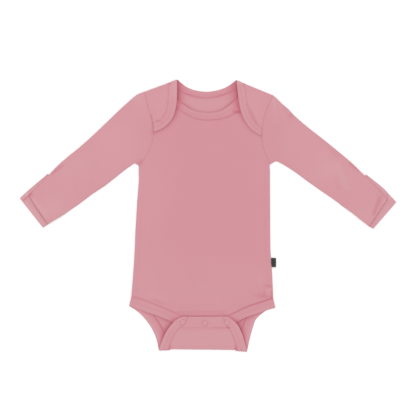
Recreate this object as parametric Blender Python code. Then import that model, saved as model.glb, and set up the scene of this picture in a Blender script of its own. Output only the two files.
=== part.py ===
"""A long-sleeved baby bodysuit, lying flat on its back.

The back panel is one cloth: its lap shoulders fold over to the front, and its
crotch tail folds up over the front hem, where three ring snaps hold it.
Every piece is a wall of cloth round its middle surface. The layers lie on each
other, a small gap apart. Plan points are in millimetres, x to the right and y
towards the neck; the tables give distances outwards from the neck's middle.
"""

import math
from collections import namedtuple

import bmesh
import bpy
from mathutils import Vector

MM = 0.001
SAME_POINT = 0.01 * MM

# Walls and layers, mm
CLOTH = 1.0
BAND = 1.3
LAYER = 1.7
SEAM_GAP = 0.3
SIDE_TURN = 0.55
SIDE_FOLD = (LAYER + BAND) / 2
SHOULDER_FOLD = LAYER + BAND / 2
BAND_FOLD = 0.3
FOLD_STEPS = 4

# The middle of the whole outline, from the neck's middle, mm
OUTLINE_MIDDLE = Vector((0.8, 0.54, 0.0))

# How many parts each edge is cut into; edges that meet share one number
SHOULDER_PARTS = 4
BACK_NECK_PARTS = 10
LEG_PARTS = 8
HEM_PARTS = 6
FRONT_PARTS = 2 * LEG_PARTS + HEM_PARTS
SIDE_PARTS = 9
SIDE_TURNS = [0.0, 0.5] + [1.0] * (SIDE_PARTS - 3) + [0.5, 0.0]
TAIL_PARTS = 7
CURVE_STEPS = 12

# Sine of the turn at which two neighbouring sides still count as one
STRAIGHT = 0.2

# The tail climbs from the back panel on to the front hem between these heights
TAIL_FOOT = -191.0
TAIL_HEAD = -172.0

# Cuff mittens, label and snaps, mm
MITTEN_COLUMNS = 5
LABEL_TOP = -63.0
LABEL_BOTTOM = -76.5
LABEL_ROOT_BOTTOM = 96.3
LABEL_ROOT_TOP = 95.4
LABEL_END = 102.9
SNAP_RADIUS = 3.8
SNAP_HOLE = 1.5
SNAP_HEIGHT = 0.9
SNAP_CROWN = 0.1
SNAP_INNER_BEVEL = 0.35
SNAP_OUTER_BEVEL = 0.5
SNAP_RIM_SHARE = 0.45
SNAP_HOLE_SHARE = 0.6
SNAP_STEPS = 20
SHARP_ANGLE = math.radians(50)

Station = namedtuple("Station", "left_out left_up right_out right_up")
Section = namedtuple("Section", "upper_out upper_up lower_out lower_up bow swell lift")
Fold = namedtuple("Fold", "start_x start_y end_x end_y half_width height")
Finish = namedtuple("Finish", "red green blue roughness metallic")


def stations(*rows):
    return [Station(*row) for row in rows]


def sections(*rows):
    return [Section(*row) for row in rows]


# Armhole seam, from the shoulder down to the underarm
ARMHOLE = stations(
    (94.2, 186.3, 97.7, 181.1),
    (91.8, 177.0, 95.2, 174.3),
    (89.2, 164.2, 90.5, 163.5),
    (86.0, 154.1, 86.7, 153.8),
    (83.4, 146.6, 83.7, 142.1),
    (81.8, 139.0, 81.5, 130.0),
    (80.7, 127.2, 80.7, 119.5),
    (81.7, 115.6, 81.7, 109.8),
    (85.2, 103.6, 84.0, 100.0),
    (90.2, 92.8, 87.6, 91.5),
    (96.0, 84.0, 91.0, 84.0),
    (102.8, 75.6, 92.9, 77.0),
)
FRONT_BAND_SEAM = 2
FLAP_TIP_SEAM = 5

# A sleeve's rise ends near the tip: armhole rows before it, and rows it takes
SWELL_LEAD = 0.3
SWELL_RUN = 2.4

# Armhole places of the lap shoulder's rows, from the shoulder to its tip
FLAP_ROWS = (0.0, 0.5, 1.0, 2.0, 3.0, 3.5, 4.0, 4.5, 5.0)

# Side seam, from the underarm down to the leg band
SIDE = stations(
    (102.8, 75.6, 92.9, 77.0),
    (103.1, 51.0, 93.4, 51.0),
    (105.3, 21.0, 93.6, 16.5),
    (107.8, -21.0, 93.8, -21.0),
    (109.2, -54.0, 94.3, -54.0),
    (111.5, -90.0, 96.9, -90.0),
    (113.9, -120.9, 98.1, -122.7),
)

# Front leg opening: the band's seam and its free edge, from the side to the hem
LEG_FRONT_SEAM = stations(
    (113.9, -120.9, 98.1, -122.7),
    (97.2, -125.2, 82.0, -128.3),
    (80.2, -132.0, 66.8, -133.2),
    (63.3, -138.8, 55.5, -137.6),
    (49.6, -144.8, 41.9, -144.4),
    (39.8, -150.0, 31.2, -149.8),
    (31.5, -156.8, 23.2, -157.2),
    (26.2, -167.2, 18.0, -167.2),
)
LEG_FRONT_EDGE = stations(
    (117.4, -134.8, 101.6, -137.3),
    (104.2, -139.8, 88.9, -141.0),
    (90.4, -144.6, 79.0, -144.8),
    (73.6, -150.2, 59.1, -151.5),
    (57.4, -157.1, 47.5, -157.4),
    (49.7, -161.2, 40.8, -161.8),
    (43.5, -167.6, 35.2, -167.6),
)

# Back leg opening, from the side down to the crotch fold
LEG_BACK_SEAM = stations(
    (113.9, -120.9, 98.1, -122.7),
    (104.2, -126.0, 89.2, -127.2),
    (92.2, -135.8, 76.5, -135.0),
    (81.9, -147.3, 65.2, -143.6),
    (73.5, -159.2, 57.5, -153.6),
    (66.6, -171.2, 52.2, -167.0),
    (60.0, -187.5, 47.0, -184.5),
    (56.7, -199.7, 42.5, -200.8),
)
LEG_BACK_EDGE = stations(
    (117.4, -134.8, 101.6, -137.3),
    (106.1, -142.4, 88.9, -141.2),
    (97.3, -150.2, 80.8, -147.0),
    (87.5, -162.4, 72.4, -155.3),
    (80.4, -174.7, 67.2, -169.6),
    (75.7, -187.7, 63.1, -184.8),
    (73.0, -200.3, 59.2, -202.3),
)

# Crotch tail on the front, from the fold up to its snapped end
TAIL_SEAM = stations(
    (56.7, -199.7, 42.5, -200.8),
    (54.4, -188.5, 40.6, -188.5),
    (49.6, -176.8, 36.8, -176.8),
    (42.6, -168.0, 31.6, -167.2),
    (34.5, -159.4, 26.6, -158.8),
    (28.6, -150.6, 23.0, -150.4),
)
TAIL_EDGE = stations(
    (73.0, -200.3, 59.2, -202.3),
    (67.7, -185.5, 55.3, -187.9),
    (60.9, -171.6, 51.7, -176.2),
    (52.3, -160.2, 45.5, -163.3),
    (43.9, -153.5, 37.2, -155.4),
    (35.8, -150.3, 29.8, -150.2),
)

# Lap shoulder's front opening, from the shoulder fold down to its tip
FLAP_SEAM = stations(
    (57.3, 200.0, 55.2, 198.5),
    (58.5, 178.5, 57.0, 181.5),
    (60.3, 160.9, 59.1, 166.0),
    (65.6, 149.2, 63.1, 153.2),
    (72.4, 142.7, 69.8, 142.4),
    (81.8, 139.0, 81.5, 130.0),
)
FLAP_EDGE = stations(
    (45.3, 204.5, 43.0, 203.6),
    (45.5, 177.4, 45.4, 183.6),
    (47.5, 160.5, 47.8, 165.6),
    (52.0, 147.0, 51.5, 151.8),
    (60.0, 136.7, 57.6, 139.9),
    (70.0, 129.6, 66.0, 128.9),
    (80.7, 125.3, 80.7, 119.5),
)

# Necklines, from the middle outwards
BACK_NECK_EDGE = stations(
    (1.5, 186.3, -1.5, 186.3),
    (15.7, 187.9, 12.8, 188.0),
    (27.0, 191.3, 24.6, 191.6),
    (35.4, 196.3, 33.5, 196.4),
    (45.3, 204.5, 43.0, 203.6),
)
BACK_NECK_SEAM = stations(
    (1.5, 177.0, -1.5, 177.0),
    (15.5, 178.2, 14.2, 179.1),
    (29.4, 182.1, 27.8, 183.0),
    (38.7, 186.3, 37.2, 187.5),
    (48.0, 192.3, 46.5, 192.6),
    (57.3, 200.0, 55.2, 198.5),
)
FRONT_NECK_EDGE = stations(
    (1.5, 155.1, -1.5, 155.1),
    (15.8, 156.8, 16.0, 156.5),
    (27.3, 161.4, 27.7, 162.3),
    (38.0, 168.8, 37.9, 170.7),
    (46.2, 175.8, 46.0, 177.8),
    (56.6, 181.6, 56.6, 182.6),
    (70.4, 183.4, 71.6, 183.2),
    (91.8, 177.0, 95.2, 174.3),
)
FRONT_NECK_SEAM = stations(
    (1.5, 143.7, -1.5, 143.7),
    (13.5, 145.0, 12.9, 144.5),
    (24.8, 149.0, 24.8, 146.9),
    (36.0, 155.2, 36.0, 151.2),
    (46.2, 162.4, 47.4, 158.4),
    (56.8, 168.8, 58.5, 166.4),
    (70.0, 171.6, 71.2, 171.4),
    (89.2, 164.2, 90.5, 163.5),
)

# Sleeves: upper and lower edge, how much of the armhole's bow a section keeps,
# how much it rises towards the lap shoulder, and how high its mitten lifts it
LEFT_SLEEVE = sections(
    (94.2, 186.3, 102.8, 75.6, 1.00, 1.00, 0.0),
    (104.8, 182.1, 107.1, 78.0, 0.80, 0.90, 0.0),
    (114.1, 174.9, 110.0, 79.0, 0.62, 0.65, 0.0),
    (122.9, 167.0, 114.1, 76.2, 0.45, 0.40, 0.0),
    (135.3, 155.7, 122.0, 70.8, 0.28, 0.20, 0.0),
    (153.8, 137.8, 135.6, 60.0, 0.12, 0.05, 0.0),
    (172.7, 119.9, 153.0, 46.2, 0.00, 0.00, 0.0),
    (191.3, 103.3, 172.2, 33.3, 0.00, 0.00, 0.0),
    (210.4, 87.9, 191.2, 19.0, 0.00, 0.00, 0.0),
    (221.8, 78.0, 204.0, 10.2, 0.00, 0.00, 0.0),
    (234.4, 65.0, 216.0, 2.0, 0.00, 0.00, 1.3),
    (240.8, 57.8, 223.5, -2.6, 0.00, 0.00, 1.3),
    (254.0, 44.0, 231.8, -7.6, 0.00, 0.00, 1.3),
    (267.2, 30.4, 239.1, -12.1, 0.00, 0.00, 1.3),
)
RIGHT_SLEEVE = sections(
    (97.7, 181.1, 92.9, 77.0, 1.00, 1.00, 0.0),
    (104.4, 175.4, 98.8, 80.6, 0.80, 0.90, 0.0),
    (111.3, 168.4, 103.6, 82.1, 0.62, 0.65, 0.0),
    (120.1, 161.0, 108.4, 80.0, 0.45, 0.40, 0.0),
    (131.5, 149.2, 116.6, 75.4, 0.28, 0.20, 0.0),
    (148.9, 134.1, 131.9, 65.5, 0.12, 0.05, 0.0),
    (168.0, 119.2, 151.2, 51.3, 0.00, 0.00, 0.0),
    (186.6, 104.3, 170.8, 37.6, 0.00, 0.00, 0.0),
    (204.3, 89.7, 190.7, 23.8, 0.00, 0.00, 0.0),
    (217.0, 78.7, 203.2, 14.2, 0.00, 0.00, 0.0),
    (230.2, 65.6, 214.6, 6.2, 0.00, 0.00, 1.3),
    (238.0, 58.2, 222.2, 0.4, 0.00, 0.00, 1.3),
    (252.6, 42.8, 233.1, -8.4, 0.00, 0.00, 1.3),
    (269.6, 25.6, 242.4, -14.7, 0.00, 0.00, 1.3),
)

# Fold-over mittens behind the cuffs, from their open edge to the hemmed end
MITTEN_UPPER = stations(
    (239.2, 63.7, 237.7, 62.5),
    (250.9, 53.8, 249.9, 53.1),
    (262.6, 43.9, 264.1, 41.3),
    (273.1, 34.7, 274.9, 29.8),
    (281.6, 26.4, 283.2, 20.6),
)
MITTEN_LOWER = stations(
    (220.6, 1.8, 219.2, 5.5),
    (228.0, -4.2, 228.9, -2.3),
    (234.4, -9.0, 236.2, -10.4),
    (239.6, -13.0, 242.5, -15.8),
    (246.8, -17.7, 248.7, -19.2),
)

# Largest folds in the upper cloth, from end to end
FOLDS = [
    Fold(*row)
    for row in (
        (100.5, 172.0, 103.5, 142.0, 4.5, 1.3),
        (108.5, 166.0, 114.5, 146.0, 4.5, 1.0),
        (54.5, 181.0, 61.5, 160.0, 5.0, 0.8),
        (70.0, 156.0, 79.0, 136.0, 5.5, 0.7),
        (196.0, 77.0, 209.0, 42.0, 6.0, 1.3),
        (178.0, 92.0, 186.0, 70.0, 8.0, 0.7),
        (254.0, 22.0, 245.0, 4.0, 5.0, 0.8),
        (-263.0, 24.0, -244.0, 0.0, 5.0, 0.7),
        (-214.0, 62.0, -206.0, 40.0, 9.0, 0.7),
        (-70.0, 152.0, -79.0, 138.0, 5.5, 0.6),
        (78.0, -96.0, 88.0, -112.0, 6.0, 0.8),
        (-84.0, -118.0, -62.0, -126.0, 6.0, 0.6),
    )
]

SNAPS = ((-37.2, -158.6), (-3.8, -160.4), (29.6, -159.2))

BODY_PINK = Finish(0.665, 0.301, 0.342, 0.88, 0.0)
BAND_PINK = Finish(0.640, 0.280, 0.322, 0.90, 0.0)
SNAP_PINK = Finish(0.700, 0.345, 0.385, 0.42, 0.0)
LABEL_BLACK = Finish(0.012, 0.012, 0.013, 0.80, 0.0)


def one_side(table, side):
    """The plan points of a table on the left (-1) or the right (1)."""
    if side < 0:
        return [Vector((-row.left_out, row.left_up)) for row in table]
    return [Vector((row.right_out, row.right_up)) for row in table]


def spread(points, parts):
    """Points at even distances along a chain of points."""
    reach = [0.0]
    for start, end in zip(points, points[1:]):
        reach.append(reach[-1] + (end - start).length)
    spaced = [points[0].copy()]
    index = 0
    for part in range(1, parts):
        goal = reach[-1] * part / parts
        while reach[index + 1] < goal:
            index += 1
        share = (goal - reach[index]) / (reach[index + 1] - reach[index])
        spaced.append(points[index].lerp(points[index + 1], share))
    spaced.append(points[-1].copy())
    return spaced


def curve(points, parts):
    """Evenly spaced points on a smooth curve through the given ones."""
    first = 2 * points[0] - points[1]
    last = 2 * points[-1] - points[-2]
    chain = [first] + points + [last]
    fine = []
    for a, b, c, d in zip(chain, chain[1:], chain[2:], chain[3:]):
        for step in range(CURVE_STEPS):
            t = step / CURVE_STEPS
            bend = 2 * a - 5 * b + 4 * c - d
            twist = 3 * b - a - 3 * c + d
            fine.append(b + 0.5 * t * ((c - a) + t * (bend + t * twist)))
    fine.append(points[-1])
    return spread(fine, parts)


def side_curve(table, side, parts):
    return curve(one_side(table, side), parts)


def across(table, parts):
    """A neckline from its left end to its right end."""
    left = one_side(table, -1)
    right = one_side(table, 1)
    return curve(left[::-1] + right[1:], parts)


def at(points, place):
    """The point at a place counted along a chain, such as 3.5."""
    index = min(int(place), len(points) - 2)
    return points[index].lerp(points[index + 1], place - index)


def corner(before, here, after, inset_in, inset_out):
    """Where two sides of an outline meet once each has moved inwards."""
    way_in = (here - before).normalized()
    way_out = (after - here).normalized()
    normal_in = Vector((-way_in.y, way_in.x))
    normal_out = Vector((-way_out.y, way_out.x))
    turn = normal_in.x * normal_out.y - normal_in.y * normal_out.x
    if abs(turn) < STRAIGHT:
        middle = (normal_in + normal_out).normalized()
        return here + middle * (inset_in + inset_out) / 2
    x = (inset_in * normal_out.y - inset_out * normal_in.y) / turn
    y = (inset_out * normal_in.x - inset_in * normal_out.x) / turn
    return here + Vector((x, y))


def inset(loop, amounts):
    """An anticlockwise outline with each side moved inwards by its amount."""
    moved = []
    for index, here in enumerate(loop):
        after = loop[(index + 1) % len(loop)]
        moved.append(corner(loop[index - 1], here, after, amounts[index - 1], amounts[index]))
    return moved


def inset_patch(bottom, right, top, left, amounts):
    """Four edges moved inwards together; amounts holds a list for each edge."""
    loop = bottom[:-1] + right[:-1] + top[:0:-1] + left[:0:-1]
    sizes = list(amounts[0]) + list(amounts[1]) + list(amounts[2])[::-1] + list(amounts[3])[::-1]
    moved = inset(loop, sizes)
    one = len(bottom) - 1
    two = one + len(right) - 1
    three = two + len(top) - 1
    new_bottom = moved[: one + 1]
    new_right = moved[one : two + 1]
    new_top = moved[two : three + 1][::-1]
    new_left = (moved[three:] + moved[:1])[::-1]
    return new_bottom, new_right, new_top, new_left


def loft(bottom, right, top, left, fade=3):
    """Rows from the bottom edge to the top one; the end shapes fade inwards."""
    columns = len(bottom) - 1
    rows = []
    for index, (start, end) in enumerate(zip(left, right)):
        rise = index / (len(left) - 1)
        row = []
        for column in range(columns + 1):
            share = column / columns
            point = start.lerp(end, share)
            point += (bottom[column] - bottom[0].lerp(bottom[-1], share)) * (1 - rise) ** fade
            point += (top[column] - top[0].lerp(top[-1], share)) * rise**fade
            row.append(point)
        rows.append(row)
    return rows


def relief(point):
    """How far the folds lift the upper cloth at a plan point."""
    lift = 0.0
    for fold in FOLDS:
        start = Vector((fold.start_x, fold.start_y))
        along = Vector((fold.end_x, fold.end_y)) - start
        place = (point.xy - start).dot(along) / along.length_squared
        nearest = start + along * min(max(place, 0.0), 1.0)
        distance = (point.xy - nearest).length / fold.half_width
        lift += fold.height * math.exp(-distance * distance)
    return lift


def ease(value):
    value = min(max(value, 0.0), 1.0)
    return value * value * (3 - 2 * value)


def middle(layer, wall, point):
    """The middle surface of a wall on a layer, over a plan point."""
    height = layer * LAYER + wall / 2
    if layer > 0:
        height += relief(point)
    return Vector((point.x, point.y, height))


def tail_layer(point):
    """The tail lies on the back at its foot and on the front hem at its head."""
    return 1 + ease((point.y - TAIL_FOOT) / (TAIL_HEAD - TAIL_FOOT))


def fold_round(low_row, high_row, outward_ends, radius):
    """Rows that turn half round a fold, from the lower layer to the upper."""
    rows = []
    last = len(low_row) - 1
    for step in range(1, FOLD_STEPS):
        angle = math.pi * step / FOLD_STEPS
        rise = (1 - math.cos(angle)) / 2
        row = []
        for index, (low, high) in enumerate(zip(low_row, high_row)):
            outward = outward_ends[0].lerp(outward_ends[1], index / last)
            point = low.lerp(high, rise)
            point += outward.to_3d() * radius * math.sin(angle)
            row.append(point)
        rows.append(row)
    return rows


def outward_from(start, end, inside):
    """The unit direction square to a fold line, away from an inside point."""
    along = (end - start).normalized()
    square = Vector((-along.y, along.x))
    if square.dot(inside - start) > 0:
        square = -square
    return square


def add_grid(mesh, rows, closed=False):
    """Quads between rows of points; closed rows join their ends."""
    grid = [[mesh.verts.new(point * MM) for point in row] for row in rows]
    for lower, upper in zip(grid, grid[1:]):
        count = len(lower)
        for index in range(count if closed else count - 1):
            after = (index + 1) % count
            mesh.faces.new((lower[index], lower[after], upper[after], upper[index]))


def cloth_piece(name, grids, wall, finish, closed=False):
    """One sewn piece: its grids joined along shared edges, with a wall."""
    mesh = bmesh.new()
    for rows in grids:
        add_grid(mesh, rows, closed)
    bmesh.ops.remove_doubles(mesh, verts=mesh.verts, dist=SAME_POINT)
    bmesh.ops.recalc_face_normals(mesh, faces=mesh.faces)
    piece = new_object(name, mesh, finish)
    solidify = piece.modifiers.new("Wall", "SOLIDIFY")
    solidify.thickness = wall * MM
    solidify.offset = 0.0
    solidify.use_even_offset = True
    return piece


def new_object(name, mesh, finish):
    data = bpy.data.meshes.new(name)
    mesh.to_mesh(data)
    mesh.free()
    data.shade_smooth()
    piece = bpy.data.objects.new(name, data)
    bpy.context.scene.collection.objects.link(piece)
    dress(piece, finish)
    return piece


def dress(piece, finish):
    """The piece's own plain material."""
    material = bpy.data.materials.new(piece.name)
    material.use_nodes = True
    shader = material.node_tree.nodes["Principled BSDF"]
    shader.inputs["Base Color"].default_value = (finish.red, finish.green, finish.blue, 1.0)
    shader.inputs["Roughness"].default_value = finish.roughness
    shader.inputs["Metallic"].default_value = finish.metallic
    piece.data.materials.clear()
    piece.data.materials.append(material)


def side_columns(inner, edge, turns, layer, heading):
    """Two more points on each row, which turn towards the side seam."""
    columns = []
    for start, end, turn in zip(inner, edge, turns):
        row = []
        for angle in (math.pi / 4, math.pi / 2):
            flat_reach = angle * 2 / math.pi
            reach = flat_reach + (math.sin(angle) - flat_reach) * turn
            drop = (1 - math.cos(angle)) * SIDE_TURN * turn
            point = middle(layer, CLOTH, start.lerp(end, reach))
            point.z += heading * drop
            row.append(point)
        columns.append(row)
    return columns


def body_panel(bottom, right, top, left, edges, turns, layer):
    """A front or back panel: flat, with sides that turn to meet each other.

    edges holds the insets of the bottom and the top, and turns says how far
    each point of the two sides turns: 0 where it stays flat, 1 on the side seam.
    """
    flat_run = SIDE_TURN * math.pi / 2
    inner_side = []
    outer_side = []
    for before, after in zip(turns, turns[1:]):
        on_side = before + after > 0
        inner_side.append(CLOTH / 2 + SIDE_TURN if on_side else SEAM_GAP / 2 + flat_run)
        outer_side.append(CLOTH / 2 if on_side else SEAM_GAP / 2)
    inner = inset_patch(bottom, right, top, left, (edges[0], inner_side, edges[1], inner_side))
    outer = inset_patch(bottom, right, top, left, (edges[0], outer_side, edges[1], outer_side))
    heading = -1 if layer else 1
    left_columns = side_columns(inner[3], outer[3], turns, layer, heading)
    right_columns = side_columns(inner[1], outer[1], turns, layer, heading)
    rows = []
    for index, plan in enumerate(loft(*inner)):
        row = left_columns[index][::-1]
        row += [middle(layer, CLOTH, point) for point in plan]
        row += right_columns[index]
        rows.append(row)
    return rows


def shares(row):
    """How far along a straight row each of its points lies, from 0 to 1."""
    length = (row[-1] - row[0]).xy.length
    return [(point - row[0]).xy.length / length for point in row]


def front_panel():
    """From the neck band's seam to the leg bands and the hidden hem."""
    lefts = one_side(ARMHOLE, -1)[FRONT_BAND_SEAM:][::-1]
    rights = one_side(ARMHOLE, 1)[FRONT_BAND_SEAM:][::-1]
    left = side_curve(SIDE, -1, SIDE_PARTS)[::-1] + lefts[1:]
    right = side_curve(SIDE, 1, SIDE_PARTS)[::-1] + rights[1:]
    left_leg = side_curve(LEG_FRONT_SEAM, -1, LEG_PARTS)
    right_leg = side_curve(LEG_FRONT_SEAM, 1, LEG_PARTS)
    hem = spread([left_leg[-1], right_leg[-1]], HEM_PARTS)
    bottom = left_leg + hem[1:] + right_leg[::-1][1:]
    top = across(FRONT_NECK_SEAM, FRONT_PARTS)
    half_gap = SEAM_GAP / 2
    bottom_insets = [half_gap] * LEG_PARTS + [0.0] * HEM_PARTS + [half_gap] * LEG_PARTS
    edges = (bottom_insets, [half_gap] * FRONT_PARTS)
    turns = SIDE_TURNS + [0.0] * (len(lefts) - 1)
    rows = body_panel(bottom, right, top, left, edges, turns, 1)
    return cloth_piece("front_panel", [rows], CLOTH, BODY_PINK)


def lap_shoulder(side, top_row):
    """Rows of a lap shoulder, over its fold and down the front to its tip.

    top_row is the back panel's edge at the fold, from the armhole inwards.
    """
    armhole = one_side(ARMHOLE, side)[: FLAP_TIP_SEAM + 1]
    seam = side_curve(FLAP_SEAM, side, len(FLAP_ROWS) - 1)
    armhole_rows = [at(armhole, place) for place in FLAP_ROWS]
    loop = armhole_rows + seam[-2::-1]
    count = len(FLAP_ROWS) - 1
    amounts = [SEAM_GAP / 2] * (2 * count) + [SHOULDER_FOLD]
    if side > 0:
        loop = [Vector((-point.x, point.y)) for point in loop]
    moved = inset(loop, amounts)
    if side > 0:
        moved = [Vector((-point.x, point.y)) for point in moved]
    outer_edge = moved[: count + 1]
    inner_edge = moved[:count:-1] + [moved[count]]
    places = shares(top_row)
    rows = []
    for start, end in zip(outer_edge, inner_edge):
        rows.append([middle(2, CLOTH, start.lerp(end, place)) for place in places])
    square = outward_from(top_row[0].xy, top_row[-1].xy, armhole[FLAP_TIP_SEAM])
    armhole_way = (armhole[0] - armhole[1]).normalized()
    outer_way = armhole_way / armhole_way.dot(square)
    return fold_round(top_row, rows[0], (outer_way, square), LAYER), rows


def tail_rows(low_row):
    """The crotch tail: over its fold and up the front."""
    left = side_curve(TAIL_SEAM, -1, TAIL_PARTS)
    right = side_curve(TAIL_SEAM, 1, TAIL_PARTS)
    bottom = [left[0], right[0]]
    top = [left[-1], right[-1]]
    half_gap = SEAM_GAP / 2
    sides = [half_gap] * TAIL_PARTS
    bottom, right, top, left = inset_patch(
        bottom, right, top, left, ([SIDE_FOLD], sides, [0.0], sides)
    )
    places = shares(low_row)
    rows = []
    for start, end in zip(left, right):
        plan = [start.lerp(end, place) for place in places]
        rows.append([middle(tail_layer(point), CLOTH, point) for point in plan])
    down = Vector((0.0, -1.0))
    return fold_round(low_row, rows[0], (down, down), LAYER / 2), rows


def back_panel():
    """One cloth: the back, both lap shoulders and the crotch tail."""
    sides = {}
    for side in (-1, 1):
        leg = side_curve(LEG_BACK_SEAM, side, LEG_PARTS)[::-1]
        seam = side_curve(SIDE, side, SIDE_PARTS)[::-1]
        armhole = one_side(ARMHOLE, side)[::-1]
        sides[side] = leg + seam[1:] + armhole[1:]
    columns = 2 * SHOULDER_PARTS + BACK_NECK_PARTS
    bottom = spread([sides[-1][0], sides[1][0]], columns)
    neck = across(BACK_NECK_SEAM, BACK_NECK_PARTS)
    left_shoulder = spread([sides[-1][-1], neck[0]], SHOULDER_PARTS)
    right_shoulder = spread([neck[-1], sides[1][-1]], SHOULDER_PARTS)
    top = left_shoulder + neck[1:] + right_shoulder[1:]
    shoulder_insets = [SHOULDER_FOLD] * SHOULDER_PARTS
    top_insets = shoulder_insets + [SEAM_GAP / 2] * BACK_NECK_PARTS + shoulder_insets
    turns = [0.0] * LEG_PARTS + SIDE_TURNS + [0.0] * (len(ARMHOLE) - 1)
    edges = ([SIDE_FOLD] * columns, top_insets)
    rows = body_panel(bottom, sides[1], top, sides[-1], edges, turns, 0)
    grids = [rows]
    reach = SHOULDER_PARTS + 3
    for side in (-1, 1):
        top_row = rows[-1][:reach] if side < 0 else rows[-1][: -reach - 1 : -1]
        turn, flap = lap_shoulder(side, top_row)
        grids.append([top_row] + turn + flap)
    turn, tail = tail_rows(rows[0])
    grids.append([rows[0]] + turn + tail)
    return cloth_piece("back_panel", grids, CLOTH, BODY_PINK)


def strip(seam, edge, seam_inset, start_inset, end_inset, layer_of):
    """Rows across a band, from its seam to its free edge."""
    parts = len(seam) - 1
    amounts = ([start_inset], [0.0] * parts, [end_inset], [seam_inset] * parts)
    flip = (edge[0] - seam[0]).cross(seam[1] - seam[0]) < 0
    if flip:
        seam = [Vector((-point.x, point.y)) for point in seam]
        edge = [Vector((-point.x, point.y)) for point in edge]
    moved = inset_patch([seam[0], edge[0]], edge, [seam[-1], edge[-1]], seam, amounts)
    rows = []
    for inner, outer in zip(moved[3], moved[1]):
        if flip:
            inner = Vector((-inner.x, inner.y))
            outer = Vector((-outer.x, outer.y))
        plan = (inner, inner.lerp(outer, 0.5), outer)
        rows.append([middle(layer_of(point), BAND, point) for point in plan])
    return rows


def level(number):
    return lambda point: number


def back_neck_band():
    """One strip: up a lap shoulder, round the back neck, down the other."""
    half_gap = SEAM_GAP / 2
    count = len(FLAP_ROWS) - 1
    neck = strip(
        across(BACK_NECK_SEAM, BACK_NECK_PARTS),
        across(BACK_NECK_EDGE, BACK_NECK_PARTS),
        half_gap,
        SHOULDER_FOLD,
        SHOULDER_FOLD,
        level(0),
    )
    grids = [neck]
    for side in (-1, 1):
        low_row = neck[0] if side < 0 else neck[-1]
        seam = side_curve(FLAP_SEAM, side, count)
        edge = side_curve(FLAP_EDGE, side, count)
        lap = strip(seam, edge, half_gap, SHOULDER_FOLD, half_gap, level(2))
        square = outward_from(low_row[0].xy, low_row[-1].xy, seam[-1])
        turn = fold_round(low_row, lap[0], (square, square), LAYER)
        grids.append([low_row] + turn + lap)
    return cloth_piece("back_neck_band", grids, BAND, BAND_PINK)


def front_neck_band():
    """The front neckline's strip, whose ends lie under the lap shoulders."""
    half_gap = SEAM_GAP / 2
    seam = across(FRONT_NECK_SEAM, FRONT_PARTS)
    edge = across(FRONT_NECK_EDGE, FRONT_PARTS)
    rows = strip(seam, edge, half_gap, half_gap, half_gap, level(1))
    return cloth_piece("front_neck_band", [rows], BAND, BAND_PINK)


def leg_band(name, side):
    """One strip round a leg opening: front hem, hip, crotch fold, tail."""
    half_gap = SEAM_GAP / 2
    front = strip(
        side_curve(LEG_FRONT_SEAM, side, LEG_PARTS),
        side_curve(LEG_FRONT_EDGE, side, LEG_PARTS),
        half_gap,
        SIDE_FOLD,
        0.0,
        level(1),
    )
    back = strip(
        side_curve(LEG_BACK_SEAM, side, LEG_PARTS),
        side_curve(LEG_BACK_EDGE, side, LEG_PARTS),
        half_gap,
        SIDE_FOLD,
        BAND_FOLD,
        level(0),
    )
    tail = strip(
        side_curve(TAIL_SEAM, side, TAIL_PARTS),
        side_curve(TAIL_EDGE, side, TAIL_PARTS),
        half_gap,
        BAND_FOLD,
        0.0,
        tail_layer,
    )
    outward = outward_from(back[0][0].xy, back[0][-1].xy, Vector((0.0, 0.0)))
    down = Vector((0.0, -1.0))
    hip = fold_round(back[0], front[0], (outward, outward), LAYER / 2)
    crotch = fold_round(back[-1], tail[0], (down, down), LAYER / 2)
    rows = front[::-1] + hip[::-1] + back + crotch + tail
    return cloth_piece(name, [rows], BAND, BAND_PINK)


def sleeve_heights(section):
    """The outer height over each armhole place: high beside the lap shoulder."""
    heights = []
    for place in range(len(ARMHOLE)):
        rise = 1 - ease((place - FLAP_TIP_SEAM + SWELL_LEAD) / SWELL_RUN)
        heights.append(LAYER + CLOTH + section.lift + LAYER * rise * section.swell)
    return heights


def ring(plan, heights, floor):
    """A flattened tube's middle line, round one section."""
    half = CLOTH / 2
    tops = [height + relief(point) for point, height in zip(plan, heights)]
    ends = []
    for here, inward, top in ((plan[0], plan[1], tops[0]), (plan[-1], plan[-2], tops[-1])):
        radius = (top - floor) / 2
        way = (inward - here).normalized()
        ends.append((here + way * radius, -way, radius))
    upper = [ends[0][0]] + plan[1:-1] + [ends[1][0]]
    points = [Vector((point.x, point.y, top - half)) for point, top in zip(upper, tops)]
    points += turn_under(ends[1], floor, 1)
    points += [Vector((point.x, point.y, floor + half)) for point in upper[::-1]]
    points += turn_under(ends[0], floor, -1)
    return points


def turn_under(end, floor, heading):
    """The two points of a half-round edge, going down (1) or up (-1)."""
    centre, outward, radius = end
    reach = radius - CLOTH / 2
    points = []
    for angle in (math.pi / 3, 2 * math.pi / 3):
        plan = centre + outward * reach * math.sin(angle)
        points.append(Vector((plan.x, plan.y, floor + radius + heading * reach * math.cos(angle))))
    return points


def sleeve(name, side, table):
    """A flat tube through its sections, from the armhole to the cuff."""
    seam = one_side(ARMHOLE, side)
    chord = seam[-1] - seam[0]
    places = [(point - seam[0]).dot(chord) / chord.length_squared for point in seam]
    bows = [point - seam[0].lerp(seam[-1], place) for point, place in zip(seam, places)]
    rows = []
    for index, section in enumerate(table):
        upper = Vector((side * section.upper_out, section.upper_up))
        lower = Vector((side * section.lower_out, section.lower_up))
        plan = []
        for place, bow in zip(places, bows):
            plan.append(upper.lerp(lower, place) + bow * section.bow)
        if index == 0:
            plan = beside(plan, side)
        rows.append(ring(plan, sleeve_heights(section), section.lift))
    return cloth_piece(name, [rows], CLOTH, BODY_PINK, closed=True)


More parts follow.
